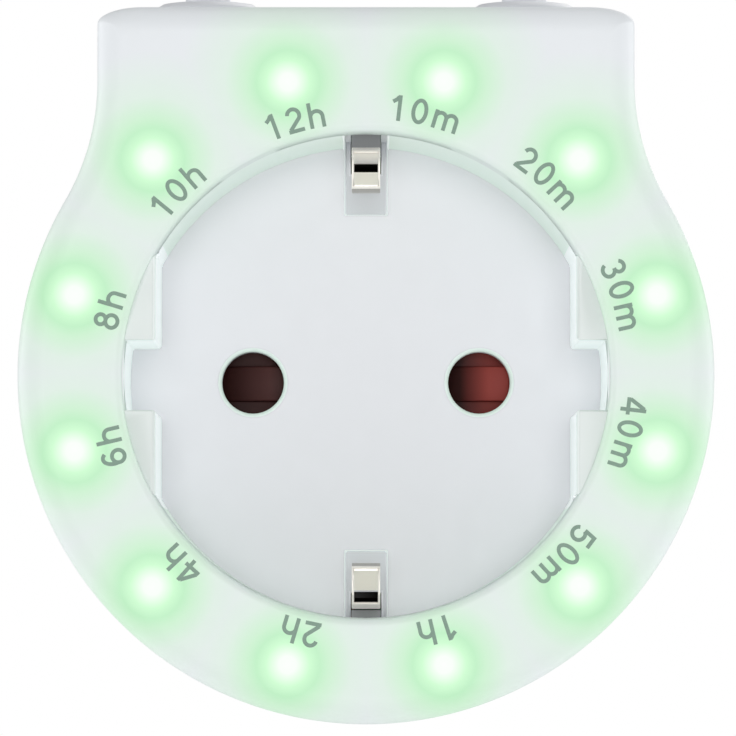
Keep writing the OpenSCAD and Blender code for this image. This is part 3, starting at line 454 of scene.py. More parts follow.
@dataclass(frozen=True)
class Metal(Finish):
    """Plated or bare metal with the fine lines of rolling, drawing or turning along one axis."""

    colour: Colour
    roughness: float = 0.3
    lines: Colour = (1.0, 1.0, 12.0)
    tarnish: float = 0.1
    metallic: float = 1.0
    cloud: float = 2.5 * MM
    span: Span = (0.35, 0.65)
    line: float = 0.05 * MM
    relief: float = 0.0015 * MM
    smoother: float = 0.08
    rougher: float = 0.1

    def fill(self, graph: Graph) -> None:
        """Builds the material's nodes.

        Args:
            graph: The material's graph.
        """
        cloud = graph.noise(self.cloud, detail=3.0)
        graph.mottle(cloud, self.span, self.colour, 1 - self.tarnish)
        graph.set("Metallic", self.metallic)
        scratch = graph.noise(self.line, stretch=self.lines)
        graph.set("Roughness", graph.spread(scratch, self.roughness - self.smoother,
                                            self.roughness + self.rougher))
        graph.bump(scratch, self.relief)


@dataclass(frozen=True)
class ClipMetal(Metal):
    """Plating of the earth clips, with a painted sheen above the recess floor, painted shade below it,
    and a painted dark reflection at their inner tips.
    """

    # floor_y and blur place the painted shade below the recess floor. The sheen colour is a painted
    # sheen given off as emission. tip_z and tip place the painted dark reflection at the inner tips. The
    # last factor sets how dark the painted shade makes the plating.
    floor_y: float = -24.6 * MM
    blur: float = 0.6 * MM
    painted_sheen: Colour = (0.12, 0.11, 0.11)
    tip_z: float = 15.55 * MM
    tip: float = 0.4
    shadow_factor: float = 0.02

    def fill(self, graph: Graph) -> None:
        """Builds the material's nodes.

        Args:
            graph: The material's graph.
        """
        super().fill(graph)
        _, y, z = graph.place()
        # Painted shade: 0 above the recess floor, rising to 1 below it, and held up at the inner tips.
        below = graph.math("DIVIDE", graph.math("SUBTRACT", y, self.floor_y), self.blur)
        inner = graph.math("LESS_THAN", graph.math("ABSOLUTE", z), self.tip_z)
        below = graph.math("MAXIMUM", below, graph.math("MULTIPLY", inner, 1 - self.tip))
        # The painted shade darkens the plating and fades out the painted sheen.
        graph.set("Base Color", graph.ramp(below, (0.0, self.colour),
                                           (1.0, scaled(self.colour, self.shadow_factor))))
        graph.set("Emission Color", graph.ramp(below, (0.0, self.painted_sheen), (1.0, BLACK)))
        graph.set("Emission Strength", 1.0)


@dataclass(frozen=True)
class ShutterRed(Moulded):
    """Dark red plastic of the shutter, with painted light along X: a lighter band near the left end and
    bright red near the right end.
    """

    lit_end_colour: Colour = (0.3, 0.05, 0.04)
    lighter: float = 1.8
    lighter_at: float = 0.13
    dark: Span = (0.2, 0.86)
    lit_end_at: float = 0.97
    from_x: float = -11.0 * MM
    to_x: float = 11.0 * MM
    specular: float = 0.15

    def fill(self, graph: Graph) -> None:
        """Builds the material's nodes.

        Args:
            graph: The material's graph.
        """
        super().fill(graph)
        x, _, _ = graph.place()
        along = graph.math("DIVIDE", graph.math("SUBTRACT", x, self.from_x), self.to_x - self.from_x)
        # Painted light along X, where light falls on the ramps under the pin holes.
        graph.set("Base Color", graph.ramp(along, (0.0, self.colour),
                                           (self.lighter_at, scaled(self.colour, self.lighter)),
                                           *[(place, self.colour) for place in self.dark],
                                           (self.lit_end_at, self.lit_end_colour)))
        graph.set("Specular IOR Level", self.specular)


@dataclass(frozen=True)
class BoardMask(Finish):
    """Solder mask over straight copper tracks on a grid, for upright and level boards alike."""

    mask: Colour
    track: Colour
    pitch: float = 1.27 * MM
    run: float = 4.0
    half_width: float = 0.24
    bare_share: float = 0.45
    patch: float = 0.8 * MM
    smoothest: float = 0.25
    roughest: float = 0.4
    relief: float = 0.03 * MM

    def runs(self, graph: Graph, along: Port, across: Port, seed: float) -> Port:
        """Tracks of chance lengths, side by side.

        Args:
            graph: The material's graph.
            along: Place along the tracks, in pitches.
            across: Place across them, in pitches.
            seed: Sets one direction's tracks apart from the other's.

        Returns:
            1 on a track and 0 beside it.
        """
        cell = graph.add("ShaderNodeCombineXYZ")
        graph.feed(cell.inputs["X"], graph.math("FLOOR", graph.math("DIVIDE", along, self.run)))
        graph.feed(cell.inputs["Y"], graph.math("FLOOR", across))
        cell.inputs["Z"].default_value = seed
        chance = graph.add("ShaderNodeTexWhiteNoise")
        graph.feed(chance.inputs["Vector"], cell.outputs["Vector"])
        there = graph.math("GREATER_THAN", chance.outputs["Value"], self.bare_share)
        line = graph.math("COMPARE", graph.math("FRACT", across), 0.5, self.half_width)
        return graph.math("MULTIPLY", there, line)

    def fill(self, graph: Graph) -> None:
        """Builds the material's nodes.

        Args:
            graph: The material's graph.
        """
        x, y, z = graph.place()
        level = graph.math("DIVIDE", x, self.pitch)
        rise = graph.math("DIVIDE", graph.math("ADD", y, z), self.pitch)
        tracks = graph.math("MAXIMUM", self.runs(graph, level, rise, 1.0),
                            self.runs(graph, rise, level, 2.0))
        graph.set("Base Color", graph.ramp(tracks, (0.0, self.mask), (1.0, self.track)))
        graph.set("Roughness", graph.spread(graph.noise(self.patch), self.smoothest, self.roughest))
        graph.bump(tracks, self.relief)


@dataclass(frozen=True)
class Winding(Finish):
    """Enamelled wire wound in close turns along Y, with painted shade in the grooves between turns."""

    colour: Colour
    wire: float = 0.12 * MM
    wave_unit: float = 20.0
    groove_shade: float = 0.35
    span: Span = (0.0, 0.6)
    relief: float = 0.04 * MM
    metallic: float = 0.7
    roughness: float = 0.32

    def fill(self, graph: Graph) -> None:
        """Builds the material's nodes.

        Args:
            graph: The material's graph.
        """
        bands = graph.add("ShaderNodeTexWave", bands_direction="Y")
        bands.inputs["Scale"].default_value = 1 / (self.wave_unit * self.wire) * math.pi
        graph.feed(bands.inputs["Vector"], graph.coords)
        turns = bands.outputs["Fac"]
        # Painted shade: the colour darkens in the grooves between turns.
        graph.mottle(turns, self.span, self.colour, self.groove_shade)
        graph.set("Metallic", self.metallic)
        graph.set("Roughness", self.roughness)
        graph.bump(turns, self.relief)


@dataclass(frozen=True)
class Lens(Finish):
    """Clear coloured resin of a light that is on."""

    colour: Colour
    strength: float = 2.0
    patch: float = 0.6 * MM
    span: Span = (0.3, 0.7)
    darker: float = 0.9
    roughness: float = 0.12

    def fill(self, graph: Graph) -> None:
        """Builds the material's nodes.

        Args:
            graph: The material's graph.
        """
        graph.mottle(graph.noise(self.patch), self.span, self.colour, self.darker)
        graph.set("Emission Color", (*self.colour, 1.0))
        graph.set("Emission Strength", self.strength)
        graph.set("Roughness", self.roughness)


@dataclass(frozen=True)
class Print(Finish):
    """Thin pad-printed ink, a little patchy where it lies over the grain."""

    colour: Colour
    patch: float = 0.25 * MM
    span: Span = (0.25, 0.6)
    thin: float = 1.12
    roughness: float = 0.55

    def fill(self, graph: Graph) -> None:
        """Builds the material's nodes.

        Args:
            graph: The material's graph.
        """
        graph.mottle(graph.noise(self.patch, detail=4.0), self.span, self.colour, self.thin)
        graph.set("Roughness", self.roughness)


@dataclass(frozen=True)
class Backdrop(Finish):
    """Matt studio paper."""

    colour: Colour
    glow: float = 0.0
    fibre: float = 3 * MM
    span: Span = (0.3, 0.7)
    darker: float = 0.985
    roughness: float = 0.9

    def fill(self, graph: Graph) -> None:
        """Builds the material's nodes.

        Args:
            graph: The material's graph.
        """
        graph.mottle(graph.noise(self.fibre, detail=4.0), self.span, self.colour, self.darker)
        graph.set("Roughness", self.roughness)
        graph.set("Emission Color", (*WHITE, 1.0))
        graph.set("Emission Strength", self.glow)


SHELL_WHITE = srgb(229, 233, 236)
SHELL_ROUGHNESS = 0.46
SHELL_RELIEF = 0.002 * MM
SOCKET_WHITE = srgb(226, 225, 230)

GLOW = (
    GlowStop(0.0, srgb(246, 255, 246), 0.75),
    GlowStop(0.7 * MM, srgb(243, 255, 243), 0.72),
    GlowStop(1.2 * MM, srgb(226, 254, 227), 0.6),
    GlowStop(1.8 * MM, srgb(202, 249, 205), 0.5),
    GlowStop(2.6 * MM, srgb(188, 238, 194), 0.4),
    GlowStop(3.4 * MM, srgb(203, 240, 207), 0.25),
    GlowStop(5.2 * MM, srgb(222, 238, 227), 0.08),
    GlowStop(9.0 * MM, SHELL_WHITE, 0.0),
)

FINISHES: dict[str, Finish] = {finish.name: finish for finish in (
    Moulded("housing_white", SHELL_WHITE, SHELL_ROUGHNESS, relief=SHELL_RELIEF, mottle=0.015),
    LitCup("socket_white", SOCKET_WHITE, 0.4, relief=0.0015 * MM, mottle=0.015),
    Moulded("carrier_grey", srgb(96, 98, 100)),
    Moulded("carrier_ivory", srgb(222, 216, 196)),
    ShutterRed("shutter_red", srgb(54, 27, 25), 0.5, relief=0.001 * MM, mottle=0.1),
    Moulded("button_grey", srgb(222, 225, 230), 0.34, relief=0.0015 * MM),
    Moulded("plunger_white", srgb(232, 231, 226)),
    Metal("spring_steel", srgb(200, 201, 203), 0.22),
    Metal("screw_zinc", srgb(205, 207, 210), 0.28, (12.0, 12.0, 1.0)),
    Metal("earth_nickel", srgb(226, 221, 211), 0.2, (1.0, 12.0, 12.0)),
    Metal("pin_nickel", srgb(224, 222, 217), 0.16, (12.0, 1.0, 12.0), 0.05),
    Metal("contact_brass", srgb(222, 190, 120), 0.26),
    Metal("busbar_copper", srgb(214, 150, 112), 0.3),
    Winding("coil_copper", srgb(190, 104, 60)),
    Metal("relay_iron", srgb(190, 190, 190), 0.38),
    Moulded("relay_blue", srgb(52, 96, 150), 0.3),
    BoardMask("board_green", srgb(24, 96, 60), srgb(40, 124, 76)),
    Moulded("part_black", srgb(34, 34, 36), 0.42),
    Moulded("part_grey", srgb(84, 84, 88), 0.42),
    Moulded("film_yellow", srgb(220, 186, 70), 0.3),
    Moulded("varistor_blue", srgb(46, 98, 176), 0.3),
    Moulded("fuse_brown", srgb(120, 72, 48), 0.35),
    Moulded("resistor_tan", srgb(206, 182, 142), 0.35),
    Lens("light_green", srgb(190, 250, 195)),
    Moulded("ribbon_grey", srgb(190, 190, 192), 0.6),
)}


# ------------------------------------------------------------------ meshes


def node_box(name: str) -> tuple[Vector, Vector]:
    """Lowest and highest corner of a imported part."""
    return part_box(name)


def oval(centre: Point2, across: float, up: float, start: float, end: float, steps: int) -> list[Point2]:
    """Points along a part of an upright oval, both ends included.

    Args:
        centre: Its centre.
        across: Half its width.
        up: Half its height.
        start: First angle in degrees.
        end: Last angle in degrees.
        steps: Number of steps.

    Returns:
        The points, in order.
    """
    angles = [math.radians(start + (end - start) * i / steps) for i in range(steps + 1)]
    return [(centre[0] + across * math.cos(a), centre[1] + up * math.sin(a)) for a in angles]


def arc(centre: Point2, radius: float, start: float, end: float, steps: int) -> list[Point2]:
    """Points along a round arc, both ends included."""
    return oval(centre, radius, radius, start, end, steps)


def ramped(value: float, start: float, end: float) -> float:
    """How far a value has come from a start to an end, from 0 to 1."""
    return min(max((value - start) / (end - start), 0.0), 1.0)


def round_place(place: Iterable[float]) -> tuple[float, ...]:
    """A place rounded to a millionth, as a key."""
    return tuple(round(value, 6) for value in place)


def linked(start: Iterable[bmesh.types.BMVert]) -> set[bmesh.types.BMVert]:
    """All points that edges join to some first ones.

    Args:
        start: The first points.

    Returns:
        Those points and all that hang together with them.
    """
    reached = set(start)
    frontier = list(reached)
    while frontier:
        for edge in frontier.pop().link_edges:
            for vert in edge.verts:
                if vert not in reached:
                    reached.add(vert)
                    frontier.append(vert)
    return reached


def in_scene(name: str, data: bpy.types.ID) -> bpy.types.Object:
    """Puts a mesh, a light or a camera into the scene.

    Args:
        name: The object's name.
        data: What it holds.

    Returns:
        The object.
    """
    thing = bpy.data.objects.new(name, data)
    bpy.context.scene.collection.objects.link(thing)
    return thing


class Blank:
    """A mesh in the making, from its first shape to the finished piece."""

    def __init__(self) -> None:
        """Starts an empty mesh."""
        self.mesh = bmesh.new()

    @classmethod
    def of_node(cls, node: str, whole: bool = True) -> "Blank":
        """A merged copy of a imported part's mesh.

        Args:
            node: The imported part's name.
            whole: Whether its flat faces are made whole again.

        Returns:
            The copy.
        """
        blank = cls()
        blank.mesh.from_mesh(frame["nodes"][node].data)
        bmesh.ops.remove_doubles(blank.mesh, verts=blank.mesh.verts, dist=MERGE)
        if whole:
            bmesh.ops.dissolve_limit(blank.mesh, angle_limit=FLAT, use_dissolve_boundaries=False,
                                     verts=blank.mesh.verts, edges=blank.mesh.edges, delimit=set())
        return blank

    def loop(self, points: Iterable[Point2], y: float) -> Edges:
        """A closed loop of edges at one depth.

        Args:
            points: The loop's points in the X-Z plane.
            y: Its depth.

        Returns:
            The loop's edges.
        """
        verts = [self.mesh.verts.new((x, y, z)) for x, z in points]
        return [self.mesh.edges.new(pair) for pair in zip(verts, verts[1:] + verts[:1])]

    def drawn_out(self, edges: Edges, depth: float) -> Edges:
        """Extrudes a loop along Y.

        Args:
            edges: The loop's edges.
            depth: How far to go.

        Returns:
            The edges of the far end.
        """
        made = bmesh.ops.extrude_edge_only(self.mesh, edges=edges)["geom"]
        verts = [item for item in made if isinstance(item, bmesh.types.BMVert)]
        bmesh.ops.translate(self.mesh, vec=(0, depth, 0), verts=verts)
        kept = set(verts)
        return [item for item in made if isinstance(item, bmesh.types.BMEdge)
                and all(vert in kept for vert in item.verts)]

    def box(self, corner: Sequence[float], opposite: Sequence[float]) -> None:
        """Adds a block.

        Args:
            corner: One corner.
            opposite: The corner across from it.
        """
        one, other = Vector(corner), Vector(opposite)
        size = [abs(span) for span in other - one]
        place = Matrix.Translation((one + other) / 2) @ Matrix.Diagonal((*size, 1))
        bmesh.ops.create_cube(self.mesh, size=1, matrix=place)

    def flat(self, edges: Edges) -> None:
        """Fills the flat area between closed loops."""
        bmesh.ops.triangle_fill(self.mesh, edges=edges, use_beauty=True, use_dissolve=False)

    def turned(self, profile: Sequence[Point2], steps: int, axis: Axis = Axis.UP,
               foot: Sequence[float] = (0.0, 0.0, 0.0)) -> None:
        """Turns a profile about an axis.

        Args:
            profile: Points of radius and height.
            steps: Number of steps in a full turn.
            axis: Direction of the axis.
            foot: Where height zero lies.
        """
        verts = [self.mesh.verts.new((radius, 0, height)) for radius, height in profile]
        edges = [self.mesh.edges.new(pair) for pair in zip(verts, verts[1:])]
        bmesh.ops.spin(self.mesh, geom=verts + edges, cent=(0, 0, 0), axis=(0, 0, 1), dvec=(0, 0, 0),
                       angle=math.tau, steps=steps, use_merge=True, use_duplicate=False)
        reached = list(linked(verts))
        place = Matrix.Translation(foot) @ axis.value.to_4x4()
        bmesh.ops.transform(self.mesh, matrix=place, verts=reached)
        bmesh.ops.remove_doubles(self.mesh, verts=reached, dist=MERGE)

    def soften(self, width: float, segments: int, where: Callable[[Vector], bool] = lambda middle: True,
               sharper_than: float = 25.0) -> None:
        """Rounds the sharp edges that a test picks.

        Args:
            width: Width of the rounding.
            segments: Number of segments across it.
            where: Test on an edge's middle.
            sharper_than: Least angle in degrees between an edge's faces.
        """
        limit = math.radians(sharper_than)
        picked = [edge for edge in self.mesh.edges
                  if len(edge.link_faces) == 2 and edge.calc_face_angle(0.0) > limit
                  and where((edge.verts[0].co + edge.verts[1].co) / 2)]
        bmesh.ops.bevel(self.mesh, geom=picked, offset=width, offset_type="OFFSET", segments=segments,
                        profile=0.5, affect="EDGES", clamp_overlap=False, loop_slide=True, material=-1)

    def outwards(self) -> None:
        """Merges doubles and points every face outwards."""
        bmesh.ops.remove_doubles(self.mesh, verts=self.mesh.verts, dist=MERGE)
        bmesh.ops.recalc_face_normals(self.mesh, faces=self.mesh.faces)

    def done(self, name: str) -> bpy.types.Mesh:
        """Ends the shaping.

        Args:
            name: The mesh's name.

        Returns:
            The finished mesh.
        """
        data = bpy.data.meshes.new(name)
        self.mesh.to_mesh(data)
        self.mesh.free()
        return data

    def piece(self, name: str, slot: str, body: Body = Body.ROOT, replaces: Sequence[str] = (),
              finish: Finish | None = None, weighted: bool = False) -> bpy.types.Object:
        """Ends the work: the mesh becomes a piece that rides on a body.

        Args:
            name: The piece's name.
            slot: The record's material slot.
            body: The body it rides on.
            replaces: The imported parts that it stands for.
            finish: Its finish, where it isn't the slot's own.
            weighted: Whether large faces rule the shading of the round edges beside them.

        Returns:
            The piece's object.
        """
        data = self.done(name)
        data.shade_smooth()
        data.set_sharp_from_angle(angle=SHARP)
        data.materials.append((finish or FINISHES[slot]).material())
        piece = in_scene(name, data)
        if weighted:
            shading = piece.modifiers.new("weighted", "WEIGHTED_NORMAL")
            shading.keep_sharp = True
        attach(piece, body.value)
        if replaces:
            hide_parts(*replaces)
        LOG.info("%s: %d faces, on %s", name, len(data.polygons), body.value)
        return piece


def cut(piece: bpy.types.Object, cutter: Blank) -> None:
    """Cuts a closed shape out of a piece for good.

    Args:
        piece: The piece to cut.
        cutter: The shape to take away.
    """
    cutter.outwards()
    tool = in_scene("cutter", cutter.done("cutter"))
    boolean = piece.modifiers.new("cut", "BOOLEAN")
    boolean.operation = "DIFFERENCE"
    boolean.solver = "EXACT"
    boolean.object = tool
    graph = bpy.context.evaluated_depsgraph_get()
    done = bpy.data.meshes.new_from_object(piece.evaluated_get(graph))
    piece.modifiers.remove(boolean)
    done.name = piece.data.name
    piece.data = done
    bpy.data.objects.remove(tool)
    done.set_sharp_from_angle(angle=SHARP)


# ------------------------------------------------------------------ shells


@dataclass
class Outline:
    """Outline of both shells: a drum whose flat-topped head runs into it in two hollows."""

    drum_r: float
    top: float
    head_half: float = 22 * MM
    hollow_r: float = 19.5 * MM
    corner_w: float = 3.7 * MM
    corner_h: float = 1.4 * MM
    seam_corner: float = 2.8 * MM
    least: float = 0.25 * MM
    curve_steps: int = 16
    drum_steps: int = 150

    def points(self, inset: float = 0.0, at_seam: bool = False) -> list[Point2]:
        """The outline's points.

        Args:
            inset: How far inside the outer surface the outline runs.
            at_seam: Whether the head's corners are round, as where the shells meet, and not oval.

        Returns:
            The points, counter-clockwise from the right-hand hollow's lower end.
        """
        hollow_x = self.head_half + self.hollow_r
        hollow_z = math.sqrt((self.drum_r + self.hollow_r) ** 2 - hollow_x ** 2)
        meet = math.degrees(math.atan2(hollow_z, hollow_x))
        wide, high = (max((self.seam_corner if at_seam else size) - inset, self.least)
                      for size in (self.corner_w, self.corner_h))
        half, top = self.head_half - inset, self.top - inset
        right = arc((hollow_x, hollow_z), self.hollow_r + inset, 180 + meet, 180, self.curve_steps)
        right += oval((half - wide, top - high), wide, high, 0, 90, self.curve_steps)
        left = [(-x, z) for x, z in reversed(right)]
        drum = arc((0, 0), self.drum_r - inset, 180 - meet, 360 + meet, self.drum_steps)
        return right + left + drum[1:-1]


@dataclass
class Shells:
    """Front and rear shell."""

    wall: float = 2 * MM
    face_t: float = 2 * MM
    edge_w: float = 2.1 * MM
    edge_h: float = 1.15 * MM
    edge_steps: int = 8
    seam_r: float = 0.22 * MM
    rim_gap: float = 0.2 * MM
    rim_w: float = 0.6 * MM
    rim_h: float = 0.5 * MM
    rim_steps: int = 6
    flats_h: float = 0.6 * MM
    socket_r: float = 19.8 * MM
    hole_r: float = 19.96 * MM
    parting_y: float = -14 * MM
    plug_l: float = 17.2 * MM
    print_t: float = 0.02 * MM
    end_r: float = 0.18 * MM
    hole_depth: float = 4 * MM
    flare: float = 0.25 * MM
    lip_share: float = 0.3
    mouth_steps: int = 144
    hole_steps: int = 64
    ring_r: float = field(init=False)
    outline: Outline = field(init=False)
    face_y: float = field(init=False)

    def __post_init__(self) -> None:
        """Takes the shells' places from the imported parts."""
        low, high = node_box("front_housing")
        self.outline = Outline(drum_r=high.x, top=high.z)
        self.face_y = low.y + self.print_t
        light_low, light_high = node_box("led_01")
        self.ring_r = math.hypot((light_low.x + light_high.x) / 2, (light_low.z + light_high.z) / 2)

    def finish(self) -> LitShell:
        """The front shell's finish: white plastic with the glow of the lights in it."""
        return LitShell("housing_lit", SHELL_WHITE, SHELL_ROUGHNESS, relief=SHELL_RELIEF, uneven=0.04,
                        stops=GLOW, ring_r=self.ring_r, face_y=self.face_y)

    def front(self) -> None:
        """Models the front shell: a hollow block with a rounded front edge and the socket's opening."""
        blank = Blank()
        face_back = self.face_y + self.face_t
        rings = [blank.loop(self.outline.points(at_seam=True), self.parting_y)]
        for step in range(self.edge_steps + 1):
            turn = math.radians(90 * (1 - step / self.edge_steps))
            rings.append(blank.loop(self.outline.points(self.edge_w * (1 - math.sin(turn))),
                                    self.face_y + self.edge_h * (1 - math.cos(turn))))
        for outer, inner in zip(rings, rings[1:]):
            bmesh.ops.bridge_loops(blank.mesh, edges=outer + inner)
        rim = oval((self.hole_r + self.rim_w, self.face_y + self.rim_h), self.rim_w, self.rim_h,
                   -90, -180, self.rim_steps)
        blank.turned([*rim, (self.hole_r, self.face_y + self.flats_h), (self.socket_r, face_back)],
                     self.mouth_steps, Axis.INTO_WALL)
        blank.drawn_out(blank.loop(self.outline.points(self.wall), face_back),
                        self.parting_y - face_back)

        def open_edges(depth: float, least: float, most: float) -> Edges:
            """Open edges at one depth whose ends lie between two distances from the axis."""
            return [edge for edge in blank.mesh.edges if edge.is_boundary
                    and all(abs(vert.co.y - depth) < TOLERANCE
                            and least < math.hypot(vert.co.x, vert.co.z) < most for vert in edge.verts)]

        far = 2 * self.outline.top
        blank.flat(open_edges(self.face_y, self.hole_r, far))
        blank.flat(open_edges(face_back, self.hole_r - self.wall, far))
        blank.flat(open_edges(self.parting_y, 0.0, far))
        blank.outwards()
        blank.soften(self.seam_r, 2, lambda middle: middle.y > self.parting_y - TOLERANCE
                     and self.outside(middle), sharper_than=60)
        piece = blank.piece("front_shell", "housing_white", replaces=["front_housing"],
                            finish=self.finish(), weighted=True)
        for side in Side:
            self.button_hole(piece, side)

    def button_hole(self, piece: bpy.types.Object, side: Side) -> None:
        """Cuts the flared hole that a button stands in.

        Args:
            piece: The front shell.
            side: Which of the two buttons.
        """
        low, high = node_box(f"{side.value}_button_cap")
        radius = Buttons.cap_r + self.rim_gap
        lip = self.lip_share * self.flare
        profile = [(0, -self.hole_depth), (radius, -self.hole_depth), (radius, -self.flare),
                   (radius + lip, -lip), (radius + 2 * self.flare, self.flare), (0, self.flare)]
        foot = ((low.x + high.x) / 2, (low.y + high.y) / 2, self.outline.top)
        cutter = Blank()
        cutter.turned(profile, self.hole_steps, Axis.UP, foot)
        cut(piece, cutter)

    def outside(self, point: Vector) -> bool:
        """Whether a point lies on the shells' outer surface and not on an inner wall.

        Args:
            point: The point.

        Returns:
            True on the outer surface.
        """
        drum = math.hypot(point.x, point.z) > self.outline.drum_r - self.wall / 2
        side = abs(point.x) > self.outline.head_half - self.wall / 2
        return drum or (point.z > 0 and side) or point.z > self.outline.top - self.wall / 2

    def rear(self) -> None:
        """Softens the rear shell and its plug body."""
        blank = Blank.of_node("rear_housing")

        def shows(point: Vector) -> bool:
            """Edges of the seam and the plug body's end."""
            seam = abs(point.y - self.parting_y) < TOLERANCE and self.outside(point)
            return seam or point.y > self.plug_l - TOLERANCE

        blank.soften(self.end_r, 3, shows)
        blank.piece("rear_shell", "housing_white", replaces=["rear_housing"], weighted=True)

    def build(self) -> None:
        """Models both shells."""
        self.front()
        self.rear()


# ------------------------------------------------------------------ printed times


@dataclass(frozen=True)
class Lettering:
    """Plain upright letters drawn with a square pen, in units of a capital's height."""

    pen: float = 0.15
    layer: float = 0.002
    narrow: float = 0.777
    wide: float = 1.163
    space: float = 0.09

    def advance(self, letter: str) -> float:
        """Width that a letter takes."""
        return self.wide if letter == "m" else self.narrow

    def strokes(self, letter: str) -> list[list[Point2]]:
        """Middle lines of a letter's strokes.

        Args:
            letter: The letter.

        Returns:
            One list of points for each stroke, around the middle of the letter's foot.
        """
        low, high = self.pen / 2, 1 - self.pen / 2
        match letter:
            case "0":
                return [oval((0, 0.5), 0.245, 0.5 - low, 90, 450, 40)]
            case "1":
                return [[(0.07, 0), (0.07, 1)], [(0.03, 0.93), (-0.06, 0.82), (-0.2, 0.73)]]
            case "2":
                return [oval((0, high - 0.25), 0.235, 0.25, 168, -32, 20) + [(-0.24, 0.13)],
                        [(-0.31, low), (0.31, low)]]
            case "3":
                return [oval((-0.01, high - 0.2), 0.21, 0.2, 160, -90, 20),
                        oval((-0.01, low + 0.23), 0.245, 0.23, 90, -160, 22)]
            case "4":
                return [[(0.13, 0), (0.13, 1)], [(-0.34, 0.3), (0.33, 0.3)],
                        [(-0.28, 0.36), (0.07, 0.93)]]
            case "5":
                return [[(-0.17, high), (0.25, high)], [(-0.2, 1), (-0.25, 0.47)],
                        oval((-0.01, low + 0.255), 0.255, 0.255, 140, -158, 24)]
            case "6":
                return [oval((0, low + 0.245), 0.24, 0.245, 90, 450, 32),
                        oval((0.03, 0.48), 0.27, 0.52 - low, 48, 190, 18)]
            case "8":
                return [oval((0, high - 0.19), 0.195, 0.19, 90, 450, 28),
                        oval((0, low + 0.235), 0.245, 0.235, 90, 450, 32)]
            case "h":
                return [[(-0.235, 0), (-0.235, 1)],
                        [(0.235, 0), *oval((0, 0.43), 0.235, 0.22, 0, 160, 16)]]
            case "m":
                arches = [oval((x, 0.45), 0.2075, 0.2, 0, 160, 16) for x in (-0.2075, 0.2075)]
                return [[(-0.415, 0), (-0.415, 0.725)], *[[(arch[0][0], 0), *arch] for arch in arches]]
        raise ValueError(letter)

    def draw(self, blank: Blank, letter: str, size: float, depth: float, place: Matrix) -> None:
        """Adds a letter to a mesh, each stroke a little thicker than the one before.

        Args:
            blank: The mesh.
            letter: The letter.
            size: Height of a capital.
            depth: Thickness of the ink.
            place: Where the letter's foot goes.
        """
        for layer, line in enumerate(self.strokes(letter)):
            points = [Vector(point) for point in line]
            closed = (points[0] - points[-1]).length < self.layer
            steps = [after - before for before, after in zip(points, points[1:])]
            before, after = ([steps[-1]] + steps, steps + [steps[0]]) if closed else (
                [steps[0]] + steps, steps + [steps[-1]])
            normals = [(one.normalized() + two.normalized()).normalized().orthogonal()
                       for one, two in zip(before, after)]
            if closed:
                points.pop()
            verts = [blank.mesh.verts.new((*(point - normal * self.pen / 2), 0))
                     for point, normal in zip(points, normals)]
            ends = verts[1:] + (verts[:1] if closed else [])
            edges = [blank.mesh.edges.new(pair) for pair in zip(verts, ends)]
            made = bmesh.ops.extrude_edge_only(blank.mesh, edges=edges)["geom"]
            far = {round_place(vert.co): vert for vert in made if isinstance(vert, bmesh.types.BMVert)}
            for vert, normal in zip(verts, normals):
                far[round_place(vert.co)].co += Vector((*(normal * self.pen), 0))
            faces = [item for item in made if isinstance(item, bmesh.types.BMFace)]
            top = bmesh.ops.extrude_face_region(blank.mesh, geom=faces)["geom"]
            top_verts = [item for item in top if isinstance(item, bmesh.types.BMVert)]
            bmesh.ops.translate(blank.mesh, vec=(0, 0, depth / size + layer * self.layer),
                                verts=top_verts)
            whole = verts + list(far.values()) + top_verts
            bmesh.ops.transform(blank.mesh, matrix=place @ Matrix.Scale(size, 4), verts=whole)


@dataclass
class TimeScale:
    """Times printed on the face beside the lights, clockwise from just right of the top."""

    shells: Shells
    minutes: tuple[int, ...] = (10, 20, 30, 40, 50)
    hours: tuple[int, ...] = (1, 2, 4, 6, 8, 10, 12)
    hour_r: float = 21.65 * MM
    minute_r: float = 22.0 * MM
    hour_lean: float = 0.7
    minute_lean: float = 2.4
    height: float = 2.12 * MM
    ink_share: float = 0.5
    font: Lettering = Lettering()
    ink: Print = Print("time_print", srgb(124, 150, 134))

    def build(self) -> None:
        """Prints each time along the ring, its foot towards the socket."""
        times = [(f"{count}m", self.minute_r, self.minute_lean) for count in self.minutes]
        times += [(f"{count}h", self.hour_r, self.hour_lean) for count in self.hours]
        for number, (text, middle_r, lean) in enumerate(times):
            angle = 90 - 360 / len(times) * (number + 0.5) + lean
            widths = [self.font.advance(letter) for letter in text]
            start = -(sum(widths) + self.font.space * (len(text) - 1)) / 2
            blank = Blank()
            for letter, width in zip(text, widths):
                turn = angle - math.degrees((start + width / 2) * self.height / middle_r)
                x, z = arc((0, 0), middle_r - self.height / 2, turn, turn, 1)[0]
                place = (Matrix.Translation((x, self.shells.face_y, z))
                         @ Matrix.Rotation(math.radians(90 - turn), 4, "Y")
                         @ Matrix.Rotation(math.radians(90), 4, "X"))
                self.font.draw(blank, letter, self.height, self.ink_share * self.shells.print_t, place)
                start += width + self.font.space
            blank.outwards()
            blank.piece(f"time_{text}", "housing_white", finish=self.ink)


# ------------------------------------------------------------------ socket


